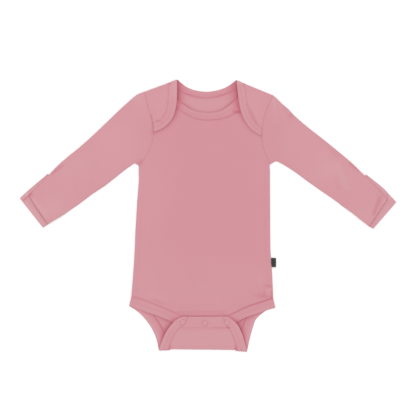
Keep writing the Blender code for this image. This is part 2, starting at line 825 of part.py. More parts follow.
def beside(seam, side):
    """An armhole moved half a gap outwards, away from the body."""
    moved = []
    for index, here in enumerate(seam):
        before = seam[index - 1] if index else 2 * here - seam[1]
        after = seam[index + 1] if index + 1 < len(seam) else 2 * here - seam[-2]
        distance = side * SEAM_GAP / 2
        moved.append(corner(before, here, after, distance, distance))
    return moved


def mitten(name, side):
    """A fold-over mitten, laid flat behind the cuff."""
    rows = []
    for upper, lower in zip(one_side(MITTEN_UPPER, side), one_side(MITTEN_LOWER, side)):
        plan = spread([upper, lower], MITTEN_COLUMNS)
        rows.append([middle(0, CLOTH, point) for point in plan])
    return cloth_piece(name, [rows], CLOTH, BODY_PINK)


def side_label():
    """A bare loop of tape, caught in the side seam."""
    half = CLOTH / 2
    bend = LABEL_END - SIDE_FOLD
    rows = []
    for root, up in ((LABEL_ROOT_BOTTOM, LABEL_BOTTOM), (LABEL_ROOT_TOP, LABEL_TOP)):
        section = [Vector((root, up, half)), Vector((bend, up, half))]
        for step in range(1, FOLD_STEPS):
            angle = math.pi * step / FOLD_STEPS
            reach = LAYER / 2
            height = half + reach - reach * math.cos(angle)
            section.append(Vector((bend + reach * math.sin(angle), up, height)))
        section += [Vector((bend, up, half + LAYER)), Vector((root, up, half + LAYER))]
        rows.append(section)
    return cloth_piece("side_label", [rows], CLOTH, LABEL_BLACK)


def ring_snap(name, place):
    """A ring cap on the tail's snapped end."""
    mesh = bmesh.new()
    middle_radius = (SNAP_RADIUS + SNAP_HOLE) / 2
    profile = (
        (SNAP_HOLE + SNAP_INNER_BEVEL, SNAP_HEIGHT),
        (middle_radius, SNAP_HEIGHT + SNAP_CROWN),
        (SNAP_RADIUS - SNAP_OUTER_BEVEL, SNAP_HEIGHT),
        (SNAP_RADIUS, SNAP_HEIGHT * SNAP_RIM_SHARE),
        (SNAP_RADIUS, 0.0),
        (SNAP_HOLE, 0.0),
        (SNAP_HOLE, SNAP_HEIGHT * SNAP_HOLE_SHARE),
    )
    rows = []
    for step in range(SNAP_STEPS):
        angle = 2 * math.pi * step / SNAP_STEPS
        out = Vector((math.cos(angle), math.sin(angle), 0.0))
        rows.append([out * radius + Vector((0.0, 0.0, height)) for radius, height in profile])
    add_grid(mesh, rows + rows[:1], closed=True)
    bmesh.ops.remove_doubles(mesh, verts=mesh.verts, dist=SAME_POINT)
    bmesh.ops.recalc_face_normals(mesh, faces=mesh.faces)
    snap = new_object(name, mesh, SNAP_PINK)
    snap.data.set_sharp_from_angle(angle=SHARP_ANGLE)
    top = 2 * LAYER + BAND + SEAM_GAP
    snap.location = Vector((place[0], place[1], top)) * MM
    return snap


def clear_scene():
    for item in list(bpy.data.objects):
        bpy.data.objects.remove(item)


def main():
    clear_scene()
    pieces = [
        front_panel(),
        back_panel(),
        sleeve("left_sleeve", -1, LEFT_SLEEVE),
        sleeve("right_sleeve", 1, RIGHT_SLEEVE),
        front_neck_band(),
        back_neck_band(),
        leg_band("left_leg_band", -1),
        leg_band("right_leg_band", 1),
        mitten("left_mitten", -1),
        mitten("right_mitten", 1),
        side_label(),
    ]
    for name, place in zip(("snap_left", "snap_middle", "snap_right"), SNAPS):
        pieces.append(ring_snap(name, place))
    garment = bpy.data.objects.new("Garment", None)
    garment.location = -OUTLINE_MIDDLE * MM
    bpy.context.scene.collection.objects.link(garment)
    for piece in pieces:
        piece.parent = garment


main()
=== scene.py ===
"""Looks for a long-sleeved baby bodysuit that lies flat: its jersey, bindings,
sewing, snaps and side tape, with a plain floor, soft light and a camera.

Every piece of cloth is a thin shell on the form of its own solid. Plan sizes
are in millimetres, x to the right and y towards the neck.
"""

import math
from functools import partial

import bmesh
import bpy
import numpy as np
from bpy.props import FloatProperty, FloatVectorProperty, IntProperty, PointerProperty
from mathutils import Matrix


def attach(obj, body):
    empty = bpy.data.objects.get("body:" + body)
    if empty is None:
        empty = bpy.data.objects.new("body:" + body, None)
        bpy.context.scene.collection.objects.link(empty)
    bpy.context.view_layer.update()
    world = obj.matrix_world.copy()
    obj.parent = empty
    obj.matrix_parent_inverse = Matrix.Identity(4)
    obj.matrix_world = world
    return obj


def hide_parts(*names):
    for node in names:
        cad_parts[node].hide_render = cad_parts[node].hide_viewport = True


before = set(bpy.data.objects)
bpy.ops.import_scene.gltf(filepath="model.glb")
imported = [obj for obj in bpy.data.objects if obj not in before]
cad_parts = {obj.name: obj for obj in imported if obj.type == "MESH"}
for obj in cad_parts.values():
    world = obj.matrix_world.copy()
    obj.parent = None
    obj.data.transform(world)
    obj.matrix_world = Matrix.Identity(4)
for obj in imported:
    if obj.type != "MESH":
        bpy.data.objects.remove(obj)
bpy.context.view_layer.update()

bl_info = {
    "name": "Baby onesie",
    "version": (1, 0, 0),
    "blender": (4, 5, 0),
    "location": "View3D > Sidebar > Onesie",
    "description": "Makes the cloth, sewing and snaps of a long-sleeved baby onesie",
    "category": "Object",
}

# A millimetre in metres, and the smallest and largest of numbers here
MM = 0.001
TINY = 1e-12
TOUCH = 1e-9
FAR = 99.0

# Walls and layers, mm: the same as the solids', but sewn edges meet closely
CLOTH = 1.0
BAND = 1.3
TAPE = 0.8
LAYER = 1.7
HALF_GAP = 0.04
SIDE_TURN = 0.66
SIDE_TURN_RUN = 22
SIDE_FOLD = (LAYER + BAND) / 2
SHOULDER_FOLD = LAYER + BAND / 2
BAND_FOLD = 0.3
# How full a wall is at a free edge and at a sewn one, and from where it is whole
FREE_RIM = 0.16
SEWN_RIM = 0.88
WHOLE_RIM = 0.995
SEWN_NEAR = 0.01
# How close points are joined, in metres
MERGE = 0.00001
SNAP_MERGE = 0.000001

# The middle of the whole outline, from the neck's middle, mm
OUTLINE_MIDDLE = np.array((0.8, 0.54, 0.0))
DOWN = np.array((0.0, -1.0))

# How finely the cloth is cut up, mm and counts
PANEL_STEP = 1.7
BAND_STEP = 1.5
EDGE_STEP = 0.16
STEP_GROWTH = 0.45
GRADE_STEPS = 4001
SPARE_END = 6
END_FADE = 3
CURVE_STEPS = 16
LINE_STEPS = 12
CONTACT_STEPS = 4
TURN_STEPS = 5
FOLD_STEPS = 10
TUBE_TURN_STEPS = 8
TAPE_TURN_STEPS = 8
TUBE_SHARES = np.linspace(0, 1, 66)
STEPS_ACROSS = {"binding": (11, 0.8), "mitten": 1.2, "tape": (0.7, 0.9)}
# A mitten's end lines take every so many of its points
COARSER = 4

# Outlines, mm: left out, left up, right out, right up
ARMHOLE = (
    (94.2, 186.3, 97.7, 181.1), (91.8, 177, 95.2, 174.3), (89.2, 164.2, 90.5, 163.5),
    (86, 154.1, 86.7, 153.8), (83.4, 146.6, 83.7, 142.1), (81.8, 139, 81.5, 130),
    (80.7, 127.2, 80.7, 119.5), (81.7, 115.6, 81.7, 109.8), (85.2, 103.6, 84, 100),
    (90.2, 92.8, 87.6, 91.5), (96, 84, 91, 84), (102.8, 75.6, 92.9, 77),
)
# Rows of ARMHOLE: where the front's binding and a lap shoulder's tip end on it,
# and those that a lap shoulder's sides are drawn through
FRONT_BAND_SEAM = 2
FLAP_TIP_SEAM = 5
FLAP_ROWS = (0, 0.5, 1, 2, 3, 3.5, 4, 4.5, 5)
SIDE = (
    (102.8, 75.6, 92.9, 77), (103.1, 51, 93.4, 51), (105.3, 21, 93.6, 16.5),
    (107.8, -21, 93.8, -21), (109.2, -54, 94.3, -54), (111.5, -90, 96.9, -90),
    (113.9, -120.9, 98.1, -122.7),
)
LEG_FRONT_SEAM = (
    (113.9, -120.9, 98.1, -122.7), (97.2, -125.2, 82, -128.3), (80.2, -132, 66.8, -133.2),
    (63.3, -138.8, 55.5, -137.6), (49.6, -144.8, 41.9, -144.4), (39.8, -150, 31.2, -149.8),
    (31.5, -156.8, 23.2, -157.2), (26.2, -167.2, 18, -167.2),
)
LEG_FRONT_EDGE = (
    (117.4, -134.8, 101.6, -137.3), (104.2, -139.8, 88.9, -141), (90.4, -144.6, 79, -144.8),
    (73.6, -150.2, 59.1, -151.5), (57.4, -157.1, 47.5, -157.4), (49.7, -161.2, 40.8, -161.8),
    (43.5, -167.6, 35.2, -167.6),
)
LEG_BACK_SEAM = (
    (113.9, -120.9, 98.1, -122.7), (104.2, -126, 89.2, -127.2), (92.2, -135.8, 76.5, -135),
    (81.9, -147.3, 65.2, -143.6), (73.5, -159.2, 57.5, -153.6), (66.6, -171.2, 52.2, -167),
    (60, -187.5, 47, -184.5), (56.7, -199.7, 42.5, -200.8),
)
LEG_BACK_EDGE = (
    (117.4, -134.8, 101.6, -137.3), (106.1, -142.4, 88.9, -141.2), (97.3, -150.2, 80.8, -147),
    (87.5, -162.4, 72.4, -155.3), (80.4, -174.7, 67.2, -169.6), (75.7, -187.7, 63.1, -184.8),
    (73, -200.3, 59.2, -202.3),
)
TAIL_SEAM = (
    (56.7, -199.7, 42.5, -200.8), (54.4, -188.5, 40.6, -188.5), (49.6, -176.8, 36.8, -176.8),
    (42.6, -168, 31.6, -167.2), (34.5, -159.4, 26.6, -158.8), (28.6, -150.6, 23, -150.4),
)
TAIL_EDGE = (
    (73, -200.3, 59.2, -202.3), (67.7, -185.5, 55.3, -187.9), (60.9, -171.6, 51.7, -176.2),
    (52.3, -160.2, 45.5, -163.3), (43.9, -153.5, 37.2, -155.4), (35.8, -150.3, 29.8, -150.2),
)
# Between which heights the tail climbs from the back to the front, mm
TAIL_FOOT = -191
TAIL_HEAD = -172
FLAP_SEAM = (
    (57.3, 200, 55.2, 198.5), (58.5, 178.5, 57, 181.5), (60.3, 160.9, 59.1, 166),
    (65.6, 149.2, 63.1, 153.2), (72.4, 142.7, 69.8, 142.4), (81.8, 139, 81.5, 130),
)
FLAP_EDGE = (
    (45.3, 204.5, 43, 203.6), (45.5, 177.4, 45.4, 183.6), (47.5, 160.5, 47.8, 165.6),
    (52, 147, 51.5, 151.8), (60, 136.7, 57.6, 139.9), (70, 129.6, 66, 128.9),
    (80.7, 125.3, 80.7, 119.5),
)
BACK_NECK_EDGE = (
    (1.5, 186.3, -1.5, 186.3), (15.7, 187.9, 12.8, 188), (27, 191.3, 24.6, 191.6),
    (35.4, 196.3, 33.5, 196.4), (45.3, 204.5, 43, 203.6),
)
BACK_NECK_SEAM = (
    (1.5, 177, -1.5, 177), (15.5, 178.2, 14.2, 179.1), (29.4, 182.1, 27.8, 183),
    (38.7, 186.3, 37.2, 187.5), (48, 192.3, 46.5, 192.6), (57.3, 200, 55.2, 198.5),
)
FRONT_NECK_EDGE = (
    (1.5, 155.1, -1.5, 155.1), (15.8, 156.8, 16, 156.5), (27.3, 161.4, 27.7, 162.3),
    (38, 168.8, 37.9, 170.7), (46.2, 175.8, 46, 177.8), (56.6, 181.6, 56.6, 182.6),
    (70.4, 183.4, 71.6, 183.2), (91.8, 177, 95.2, 174.3),
)
FRONT_NECK_SEAM = (
    (1.5, 143.7, -1.5, 143.7), (13.5, 145, 12.9, 144.5), (24.8, 149, 24.8, 146.9),
    (36, 155.2, 36, 151.2), (46.2, 162.4, 47.4, 158.4), (56.8, 168.8, 58.5, 166.4),
    (70, 171.6, 71.2, 171.4), (89.2, 164.2, 90.5, 163.5),
)

# Sleeves: upper out, upper up, lower out, lower up, how much of the armhole's
# bow a section keeps, how much it rises to the lap shoulder, its mitten's lift
LEFT_SLEEVE = (
    (94.2, 186.3, 102.8, 75.6, 1, 1, 0), (104.8, 182.1, 107.1, 78, 0.8, 0.9, 0),
    (114.1, 174.9, 110, 79, 0.62, 0.65, 0), (122.9, 167, 114.1, 76.2, 0.45, 0.4, 0),
    (135.3, 155.7, 122, 70.8, 0.28, 0.2, 0), (153.8, 137.8, 135.6, 60, 0.12, 0.05, 0),
    (172.7, 119.9, 153, 46.2, 0, 0, 0), (191.3, 103.3, 172.2, 33.3, 0, 0, 0),
    (210.4, 87.9, 191.2, 19, 0, 0, 0), (221.8, 78, 204, 10.2, 0, 0, 0),
    (234.4, 65, 216, 2, 0, 0, 1.3), (240.8, 57.8, 223.5, -2.6, 0, 0, 1.3),
    (254, 44, 231.8, -7.6, 0, 0, 1.3), (267.2, 30.4, 239.1, -12.1, 0, 0, 1.3),
)
RIGHT_SLEEVE = (
    (97.7, 181.1, 92.9, 77, 1, 1, 0), (104.4, 175.4, 98.8, 80.6, 0.8, 0.9, 0),
    (111.3, 168.4, 103.6, 82.1, 0.62, 0.65, 0), (120.1, 161, 108.4, 80, 0.45, 0.4, 0),
    (131.5, 149.2, 116.6, 75.4, 0.28, 0.2, 0), (148.9, 134.1, 131.9, 65.5, 0.12, 0.05, 0),
    (168, 119.2, 151.2, 51.3, 0, 0, 0), (186.6, 104.3, 170.8, 37.6, 0, 0, 0),
    (204.3, 89.7, 190.7, 23.8, 0, 0, 0), (217, 78.7, 203.2, 14.2, 0, 0, 0),
    (230.2, 65.6, 214.6, 6.2, 0, 0, 1.3), (238, 58.2, 222.2, 0.4, 0, 0, 1.3),
    (252.6, 42.8, 233.1, -8.4, 0, 0, 1.3), (269.6, 25.6, 242.4, -14.7, 0, 0, 1.3),
)
MITTEN_UPPER = (
    (239.2, 63.7, 237.7, 62.5), (250.9, 53.8, 249.9, 53.1), (262.6, 43.9, 264.1, 41.3),
    (273.1, 34.7, 274.9, 29.8), (281.6, 26.4, 283.2, 20.6),
)
MITTEN_LOWER = (
    (220.6, 1.8, 219.2, 5.5), (228, -4.2, 228.9, -2.3), (234.4, -9, 236.2, -10.4),
    (239.6, -13, 242.5, -15.8), (246.8, -17.7, 248.7, -19.2),
)
SIDES = (("left", -1, LEFT_SLEEVE), ("right", 1, RIGHT_SLEEVE))

# How a sleeve starts, mm: the run of its gap, its dip's depth and run, then the
# rise to the lap shoulder, in rows of ARMHOLE; its fullness and where that starts
GAP_RUN = 10
SLEEVE_DIP = (0.24, 1.8)
SWELL_LEAD = 0.3
SWELL_RUN = 2.4
SLEEVE_PUFF = 0.7
PUFF_RUNS = (40, 30)

# Folds of the upper cloth: start x and y, end x and y, half width, height
FOLDS = (
    (100.5, 172, 103.5, 142, 4.5, 1.3), (108.5, 166, 114.5, 146, 4.5, 1),
    (54.5, 181, 61.5, 160, 5, 0.8), (70, 156, 79, 136, 5.5, 0.7), (196, 77, 209, 42, 6, 1.3),
    (178, 92, 186, 70, 8, 0.7), (254, 22, 245, 4, 5, 0.8), (-263, 24, -244, 0, 5, 0.7),
    (-214, 62, -206, 40, 9, 0.7), (-70, 152, -79, 138, 5.5, 0.6), (78, -96, 88, -112, 6, 0.8),
    (-84, -118, -62, -126, 6, 0.6),
)

# Finer creases of the upper cloth, which run out at both ends: start x and y,
# end x and y, half width, height
CREASES = (
    (60, 167, 76.8, 134, 2, -0.5), (36, 157, 50, 155, 1.8, -0.5), (-64, 139, -80, 143.5, 1.8, -0.4),
    (101, 178, 107, 156, 1.8, -0.4), (121, 152, 128, 147, 2.4, -0.5),
    (178, 104, 199, 84, 3.6, -0.16), (190, 62, 200, 34, 5, -0.16), (84, -104, 97, -106, 2.6, -0.4),
    (74, -117, 88, -119, 3.4, -0.28), (-86, -123.5, -62, -133, 1.6, -0.4),
    (-213, 79, -237, 60, 2.2, -0.7), (-266, 29, -240, -4, 2.4, 0.5),
    (260.5, 33, 246, -3, 3.4, -0.8), (211, 80, 229, 67, 2, -0.25),
)

# Creases of the cloth underneath, which only lift it from the floor
UNDER_CREASES = (
    (-92, 60, -60, 66, 6, 0.32), (90, 40, 62, 52, 7, 0.3), (-100, -96, -66, -110, 5.5, 0.34),
    (94, -92, 70, -104, 5, 0.3), (-30, -150, 22, -146, 6, 0.3), (150, 118, 190, 76, 6.5, 0.34),
    (-150, 112, -196, 74, 6, 0.3), (206, 62, 219, 44, 4.5, 0.3), (-214, 60, -226, 38, 4.5, 0.32),
    (20, 150, 52, 158, 5.5, 0.26), (-48, 154, -18, 148, 5, 0.28),
)
CREASE_ENDS = 4
SLACK_BROAD = 0.13
SLACK_NARROW = 0.09
LOWEST = -0.45

# Ridges of the seam allowance beside a side seam: height, distance, width, mm;
# how dark the painted shade on the upper one is, where and how wide
SIDE_RIDGES = ((0.32, 4.6, 1.1), (-0.22, 7.4, 1.6))
UNDER_RIDGES = ((0.12, 6.5, 1.6),)
RIDGE_SHADE = (0.04, 6.3, 0.9)
# How deep and how wide the cloth dips at its seams, mm
SEAM_DIP = (0.10, 1.8)
TAIL_DIP = (0.06, 1.8)

# How dark the painted shadow is beside an edge that lies over the cloth, one row for
# each row of the edge's table: left strength, left width in mm, right strength, width
FLAP_SHADOWS = (
    (0.62, 8, 0.6, 10.5), (0.7, 8, 0.64, 10), (0.64, 5, 0.66, 6.6), (0.42, 4.4, 0.38, 4.4),
    (0.3, 3.6, 0.27, 3.6), (0.26, 3.6, 0.16, 3), (0.24, 3.6, 0.08, 3),
)
TAIL_SHADOWS = (
    (0.4, 3, 0.4, 3), (0.64, 3.2, 0.66, 2.6), (0.56, 7, 0.66, 4.2), (0.58, 5.4, 0.74, 5.6),
    (0.46, 3, 0.54, 3.2), (0.42, 2.4, 0.42, 2.2),
)
LEG_SHADOWS = (
    (0.14, 2, 0.18, 2), (0.12, 2, 0.26, 2), (0.26, 2.2, 0.38, 2.6), (0.28, 4, 0.44, 4.5),
    (0.34, 9, 0.44, 7), (0.3, 8, 0.46, 8), (0.2, 6, 0.26, 6),
)
NECK_SHADOWS = (
    (0.14, 2, 0.14, 2), (0.2, 2.2, 0.22, 2.5), (0.36, 2.6, 0.34, 2.8), (0.4, 3.4, 0.44, 3.4),
    (0.4, 5, 0.46, 5), (0.2, 4, 0.2, 4), (0.1, 4, 0.1, 4), (0.1, 4, 0.1, 4),
)
TAIL_TOP_SHADOW = (0.46, 1.5)
CUFF_SHADOWS = ((0.55, 1.7), (0.10, 3.0))
SHADOW_FADE = 1.5
SHADOW_REACH = 20
UNDER_SLACK = 0.3
# Painted shade in sunken creases, and painted highlights on raised creases and on folds
CREASE_SHADE = 0.34
CREASE_HIGHLIGHT = 0.9
FOLD_HIGHLIGHT = 0.28

# How dark the painted shade is along each seam, from its first row to its last one,
# on the left and on the right, and on how many mm to either side
SEAM_SHADE_DEPTHS = (
    (ARMHOLE, (0.05, 0.05), (0.06, 0.06), 3.2),
    (SIDE, (0.06, 0.06), (0.06, 0.06), 3.2),
    (LEG_FRONT_SEAM, (0.20, 0.18), (0.48, 0.26), 3.2),
    (LEG_BACK_SEAM, (0.16, 0.60), (0.20, 0.60), 4.8),
    (TAIL_SEAM, (0.12, 0.10), (0.12, 0.10), 3.2),
    (FLAP_SEAM, (0.06, 0.14), (0.06, 0.14), 3.2),
    (BACK_NECK_SEAM, (0.14, 0.60), (0.14, 0.56), 5.4),
    (FRONT_NECK_SEAM, (0.18, 0.22), (0.18, 0.26), 3.2),
)

# Painted shade and painted highlights along lines that pressing and sewing leave on the upper
# cloth:
# start x and y, end x and y, half width, and how dark the painted shade is, or how pale the painted
# highlight below nought
MARKS = (
    (-43, -143.8, 26, -144, 1.3, 0.17), (-36, -167.2, 34, -167.2, 1.1, 0.09),
    (8, -167.2, 33, -167.4, 1.2, 0.12), (30, -166.8, 31.5, -167, 2, 0.2),
    (-52, -195.4, 50, -196.4, 1, 0.06), (-66, -130.5, -52, -130.5, 1.2, 0.05),
    (84, -104, 96, -106, 2, 0.12), (70, -118.5, 90, -119.5, 3.4, 0.08),
    (85, -109, 86, -120, 1.7, 0.15), (95.5, -114, 97, -122, 1.6, 0.26),
    (78, -122, 96, -120.5, 1, 0.15), (92, -109, 93, -118, 2, -0.5),
    (38.5, 156.6, 49, 155, 1.8, 0.22), (-84.7, 151.5, -81.2, 134, 1.3, 0.2),
    (59.5, 168, 68, 150, 1.3, 0.08), (213, 79.5, 224, 70, 2.4, 0.16),
    (-275, 24, -265, 32.5, 1.8, 0.34), (-103, 79, -100, 82, 4, 0.2), (-264, 33, -262, 30, 2, 0.14),
    (270, 25, 269, 26.5, 1.8, 0.16), (265, 25, 263, 21, 2.6, -0.4),
    (-52, 200, -52, 192, 4.5, -0.35), (-56.2, 197, -56.4, 172, 0.8, -0.55),
    (-52.6, 199, -53, 176, 0.8, -0.75), (-49.2, 201, -49.6, 180, 1.6, -0.9),
    (46, 200.5, 56, 197, 3.4, -0.85), (52, 192, 55, 182, 1.2, -0.35),
)

# Paler patches of the upper cloth: middle x and y, half sizes, strength
PALE_PATCHES = (
    (-66, 178, 24, 34, 0.42), (68, 175, 26, 36, 0.42), (0, -112, 120, 42, 0.3),
    (-215, 50, 84, 60, 0.46), (222, 46, 84, 60, 0.46), (-236, 8, 30, 24, 0.55),
    (232, 0, 28, 18, 0.45), (-138, 118, 46, 60, 0.5), (138, 118, 46, 60, 0.42),
    (-98, -25, 34, 130, 0.28), (90, -25, 28, 120, 0.05), (176, 66, 26, 22, 0.32),
    (-196, 81, 26, 18, 0.28), (-102, 168, 18, 22, 0.26), (103, 174, 8, 12, 0.5),
    (-106, 178, 12, 8, 0.45),
)
INNER_PALE = 0.45
TAIL_PALE = 0.68
TAIL_PALE_RUN = 8
# Bindings: a painted highlight towards the free edge, paler on the tail, and a stronger painted
# highlight towards the free edge of the part behind
BAND_PALE = {"free": 0.35, "tail": 0.42, "back": 0.85}
MITTEN_PALE = {-1: 1.0, 1: 0.35}
# Painted light on a mitten beside its sleeve's edge, against the shade there
MITTEN_BESIDE_LIGHT = {-1: 0.25, 1: 0.0}
BESIDE_RUN = 1.5
MITTEN_SHADE = 0.09
# Where a mitten's hem fades, mm from its end, and on how many mm: pale and dark
HEM_PALE_END = (11, 6)
HEM_SHADE_END = (10, 5)

# A binding's crown, its groove along the stitches (width, depth, painted shade), and
# how its free edge lies down: on the floor, what upper layers add, width, mm
BAND_CROWN = 0.24
BAND_GROOVE = (0.9, 0.14, 0.05)
BAND_DROOP = (0.4, 0.3, 1.1)
# A mitten's hem: the swell's height, place and width, then how wide and deep
# its grooves are, and how wide and dark the painted shade in them is
HEM_SWELL = (0.18, 5, 6)
HEM_GROOVE = (0.55, 0.14)
HEM_LINE = (0.8, 0.32)

# Rows of stitches across a binding, as shares of its width from the seam, on a
# mitten's hem, mm from its end, and on the tail, mm up the plan, and which of
# the cloth's columns a hem's rows run over
STITCH_ROWS = (0.5,)
MITTEN_STITCHES = (2.5, 5.5, 8.5)
TAIL_STITCHES = (-167.6, -196.0)
HEM_CLEAR = {"mitten": slice(4, -4), "tail": slice(3, -3)}
STITCH_LIFT = 0.08
# A stitch's least and greatest length, as inputs of its random draw
STITCH_SHARES = {2: 0.9, 3: 1.06}
THREAD_FLATNESS = 0.8
GRAIN_BALL = {"Segments": 6, "Rings": 5, "Radius": 0.5}

# The side tape: its ends up the plan, its root's at each, and its outer end, mm
LABEL_TOP = -63.0
LABEL_BOTTOM = -76.5
LABEL_ROOT_BOTTOM = 96.3
LABEL_ROOT_TOP = 95.4
LABEL_END = 102.9
# The snaps: their middles, how far their feet reach down, and their base, mm
SNAPS = ((-37.2, -158.6), (-3.8, -160.4), (29.6, -159.2))
SNAP_DROPS = (0.0, 0.55, 0.0)
SNAP_BASE = 5.0
# A ring cap's profile: its dish, as shares of the hole and the height; its rim's
# first share of a half turn, its steps, foot and crown; its wall's foot
SNAP_DISH = ((0, 0.34), (0.55, 0.30), (0.86, 0.34))
SNAP_RIM = (0.93, 10, 0.42, 0.58)
SNAP_WALL = (0.2, 0.985)
SNAP_CREASE = 55

# Noise in the finishes: scale, detail, roughness
DYE_BROAD = (14, 3, 0.5)
DYE_FINE = (900, 3, 0.7)
FUZZ = (2600, 4, 0.8)
STRAND = (1800, 2, 0.5)
PEEL = (1500, 2, 0.5)
CLOUD = (3, 2, 0.5)
# A knit's legs, their slant and place; its courses' share of the wale pitch; how
# uneven the dye is; how dark the painted shade in its gaps is; how much fuzz raises and dulls it
LEG_SLANT = 1.5
LEG_PLACE = 0.25
COURSE_SHARE = 0.8
UNEVENNESS = 0.05
GAP_SHADE = 0.03
FUZZ_HEIGHT = 0.6
FUZZ_ROUGHNESS = (0.12, 0.8)
# How steeply the painted tones fade towards the underside, from where
TONE_SIDE = (4.0, 1.0)
WEAVE_TURN = 2 * math.pi / 0.0006

# Stage: floor height in mm; the rest in metres and watts
FLOOR_LEVEL = -0.1
FLOOR_HALF = 2.5
SENSOR = 36.0
VIEW_MIDDLE = (-0.00005, 0.01146)
LIGHTS = (
    ("key", (-0.55, 0.75, 2.3), 2.0, 20.0),
    ("fill", (0.75, -0.35, 2.3), 2.2, 12.0),
)
WORLD_STRENGTH = 0.72


def length(label, description, value):
    return FloatProperty(name=label, description=description, default=value, unit="LENGTH")


def colour(label, description, value):
    return FloatVectorProperty(
        name=label,
        description=description,
        subtype="COLOR",
        size=4,
        min=0.0,
        max=1.0,
        default=(*value, 1.0),
    )


class OnesieSizes(bpy.types.PropertyGroup):
    """Sizes of the sewing and the small parts."""

    stitch_pitch: length("Stitch pitch", "Distance from one stitch to the next", 0.0031)
    stitch_length: length("Stitch length", "Length of thread that shows in one stitch", 0.0025)
    thread_width: length("Thread width", "Width of the sewing thread", 0.00042)
    wale_pitch: length("Wale pitch", "Distance between the knit's columns", 0.00075)
    knit_depth: length("Knit depth", "Depth of the knit's relief", 0.0001)
    snap_radius: length("Snap radius", "Outer radius of a ring snap", 0.0038)
    snap_hole: length("Snap hole", "Radius of the hole in a ring snap", 0.0017)
    snap_height: length("Snap height", "Height of a ring snap over the cloth", 0.001)
    snap_steps: IntProperty(
        name="Snap steps", description="Faces round a ring snap", default=48, min=12
    )
    camera_height: length("Camera height", "Height of the camera over the floor", 2.0)
    view_width: length("View width", "Width of the floor that the camera sees", 0.624)


class OnesieColours(bpy.types.PropertyGroup):
    """Colours of the cloth, thread, enamel, tape and floor."""

    jersey: colour("Jersey", "Body and sleeve cloth", (0.587, 0.265, 0.303))
    # The paler colour: paler places and the painted highlights on ridges, folds, pleats and free
    # edges mix it in
    pale_and_lit: colour("Washed jersey", "The cloth where it is lighter", (0.610, 0.316, 0.346))
    # The mittens' paler hem colour; the painted light beside a sleeve's edge mixes it in too
    mitten: colour("Mitten", "The mittens' double cloth", (0.660, 0.385, 0.410))
    # The colour that painted shade and painted shadows mix in: in seams, creases, knit gaps and
    # beside edges that lie over the cloth
    shade_tint: colour("Shade tint", "The cloth deep in seams and creases", (0.450, 0.045, 0.095))
    thread: colour("Thread", "Sewing thread", (0.625, 0.320, 0.352))
    enamel: colour("Enamel", "Ring snaps", (0.588, 0.283, 0.320))
    tape: colour("Tape", "Side tape", (0.008, 0.008, 0.008))
    floor: colour("Floor", "Plain floor", (0.940, 0.940, 0.940))


def sizes():
    return bpy.context.scene.onesie_sizes


def colours():
    return bpy.context.scene.onesie_colours


def ease(value):
    """A smooth step from 0 to 1."""
    value = np.clip(value, 0.0, 1.0)
    return value * value * (3 - 2 * value)


def bell(away, width):
    """A soft hump, 1 high in its middle."""
    return np.exp(-((away / width) ** 2))


def arch(place):
    """A round arch over places from 0 to 1."""
    return np.sqrt(np.clip(4 * place * (1 - place), 0.0, 1.0))


def unit(vectors):
    return vectors / np.maximum(np.linalg.norm(vectors, axis=-1, keepdims=True), TOUCH)


def one_side(table, side):
    """The plan points of a table on the left (-1) or the right (1)."""
    rows = np.array(table, float)
    return rows[:, :2] * (-1, 1) if side < 0 else rows[:, 2:4]


def smooth(points, steps=CURVE_STEPS):
    """A smooth curve through the given points, which stay on it."""
    points = np.asarray(points, float)
    chain = np.vstack((2 * points[0] - points[1], points, 2 * points[-1] - points[-2]))
    a, b, c, d = (chain[i : len(chain) - 3 + i, None, :] for i in range(4))
    t = (np.arange(steps) / steps)[None, :, None]
    bend = 2 * a - 5 * b + 4 * c - d
    twist = 3 * b - a - 3 * c + d
    fine = b + 0.5 * t * ((c - a) + t * (bend + t * twist))
    return np.vstack((fine.reshape(-1, points.shape[1]), points[-1:]))


def drawn(table, side, steps=CURVE_STEPS):
    """A table's curve on one side."""
    return smooth(one_side(table, side), steps)


def straight(start, end):
    """A straight line as a chain."""
    return np.linspace(start, end, LINE_STEPS)


def across(table):
    """A neckline's curve from its left end to its right end."""
    return smooth(np.vstack((one_side(table, -1)[::-1], one_side(table, 1)[1:])))


def reach(points):
    """How far along a chain each of its points lies."""
    return np.concatenate(([0.0], np.cumsum(np.linalg.norm(np.diff(points, axis=0), axis=1))))


def at(points, places, along=None):
    """The points at places counted along a chain, such as 3.5, or by its lengths."""
    along = np.arange(len(points)) if along is None else along
    return np.column_stack([np.interp(places, along, column) for column in points.T])


def resample(points, places, along=None):
    """The points at places from 0 to 1 along a chain."""
    along = reach(points) if along is None else along
    return at(points, np.asarray(places) * along[-1], along)


def chord_shares(points):
    """How far along its chord each point of a curve lies, from 0 to 1."""
    chord = points[-1] - points[0]
    return (points - points[0]) @ chord / (chord @ chord)


def graded(length, coarse=PANEL_STEP, start=True, end=True):
    """Places from 0 to 1 along a length, closer together near its ends."""
    travel = np.linspace(0.0, length, GRADE_STEPS)
    clear = np.full_like(travel, length)
    if start:
        clear = np.minimum(clear, travel)
    if end:
        clear = np.minimum(clear, length - travel)
    step = np.minimum(coarse, EDGE_STEP + STEP_GROWTH * clear)
    count = np.concatenate(([0.0], np.cumsum(np.diff(travel) * 2 / (step[1:] + step[:-1]))))
    parts = max(2, math.ceil(count[-1]))
    return np.interp(np.linspace(0.0, count[-1], parts + 1), count, travel) / length


BAND_PLACES = graded(*STEPS_ACROSS["binding"])


def leftwards(points):
    """The unit directions square to a plan curve, to the left of its way."""
    way = np.gradient(points, axis=0)
    way[1:-1] = points[2:] - points[:-2]
    way = unit(way)
    return np.column_stack((-way[:, 1], way[:, 0]))


def shifted(points, inset):
    """A curve moved to its left, and drawn out a little at both ends."""
    inset = np.broadcast_to(np.asarray(inset, float), len(points))
    moved = points + leftwards(points) * inset[:, None]
    first = moved[0] - unit(moved[1] - moved[0]) * SPARE_END
    last = moved[-1] + unit(moved[-1] - moved[-2]) * SPARE_END
    return np.vstack((first, moved, last))


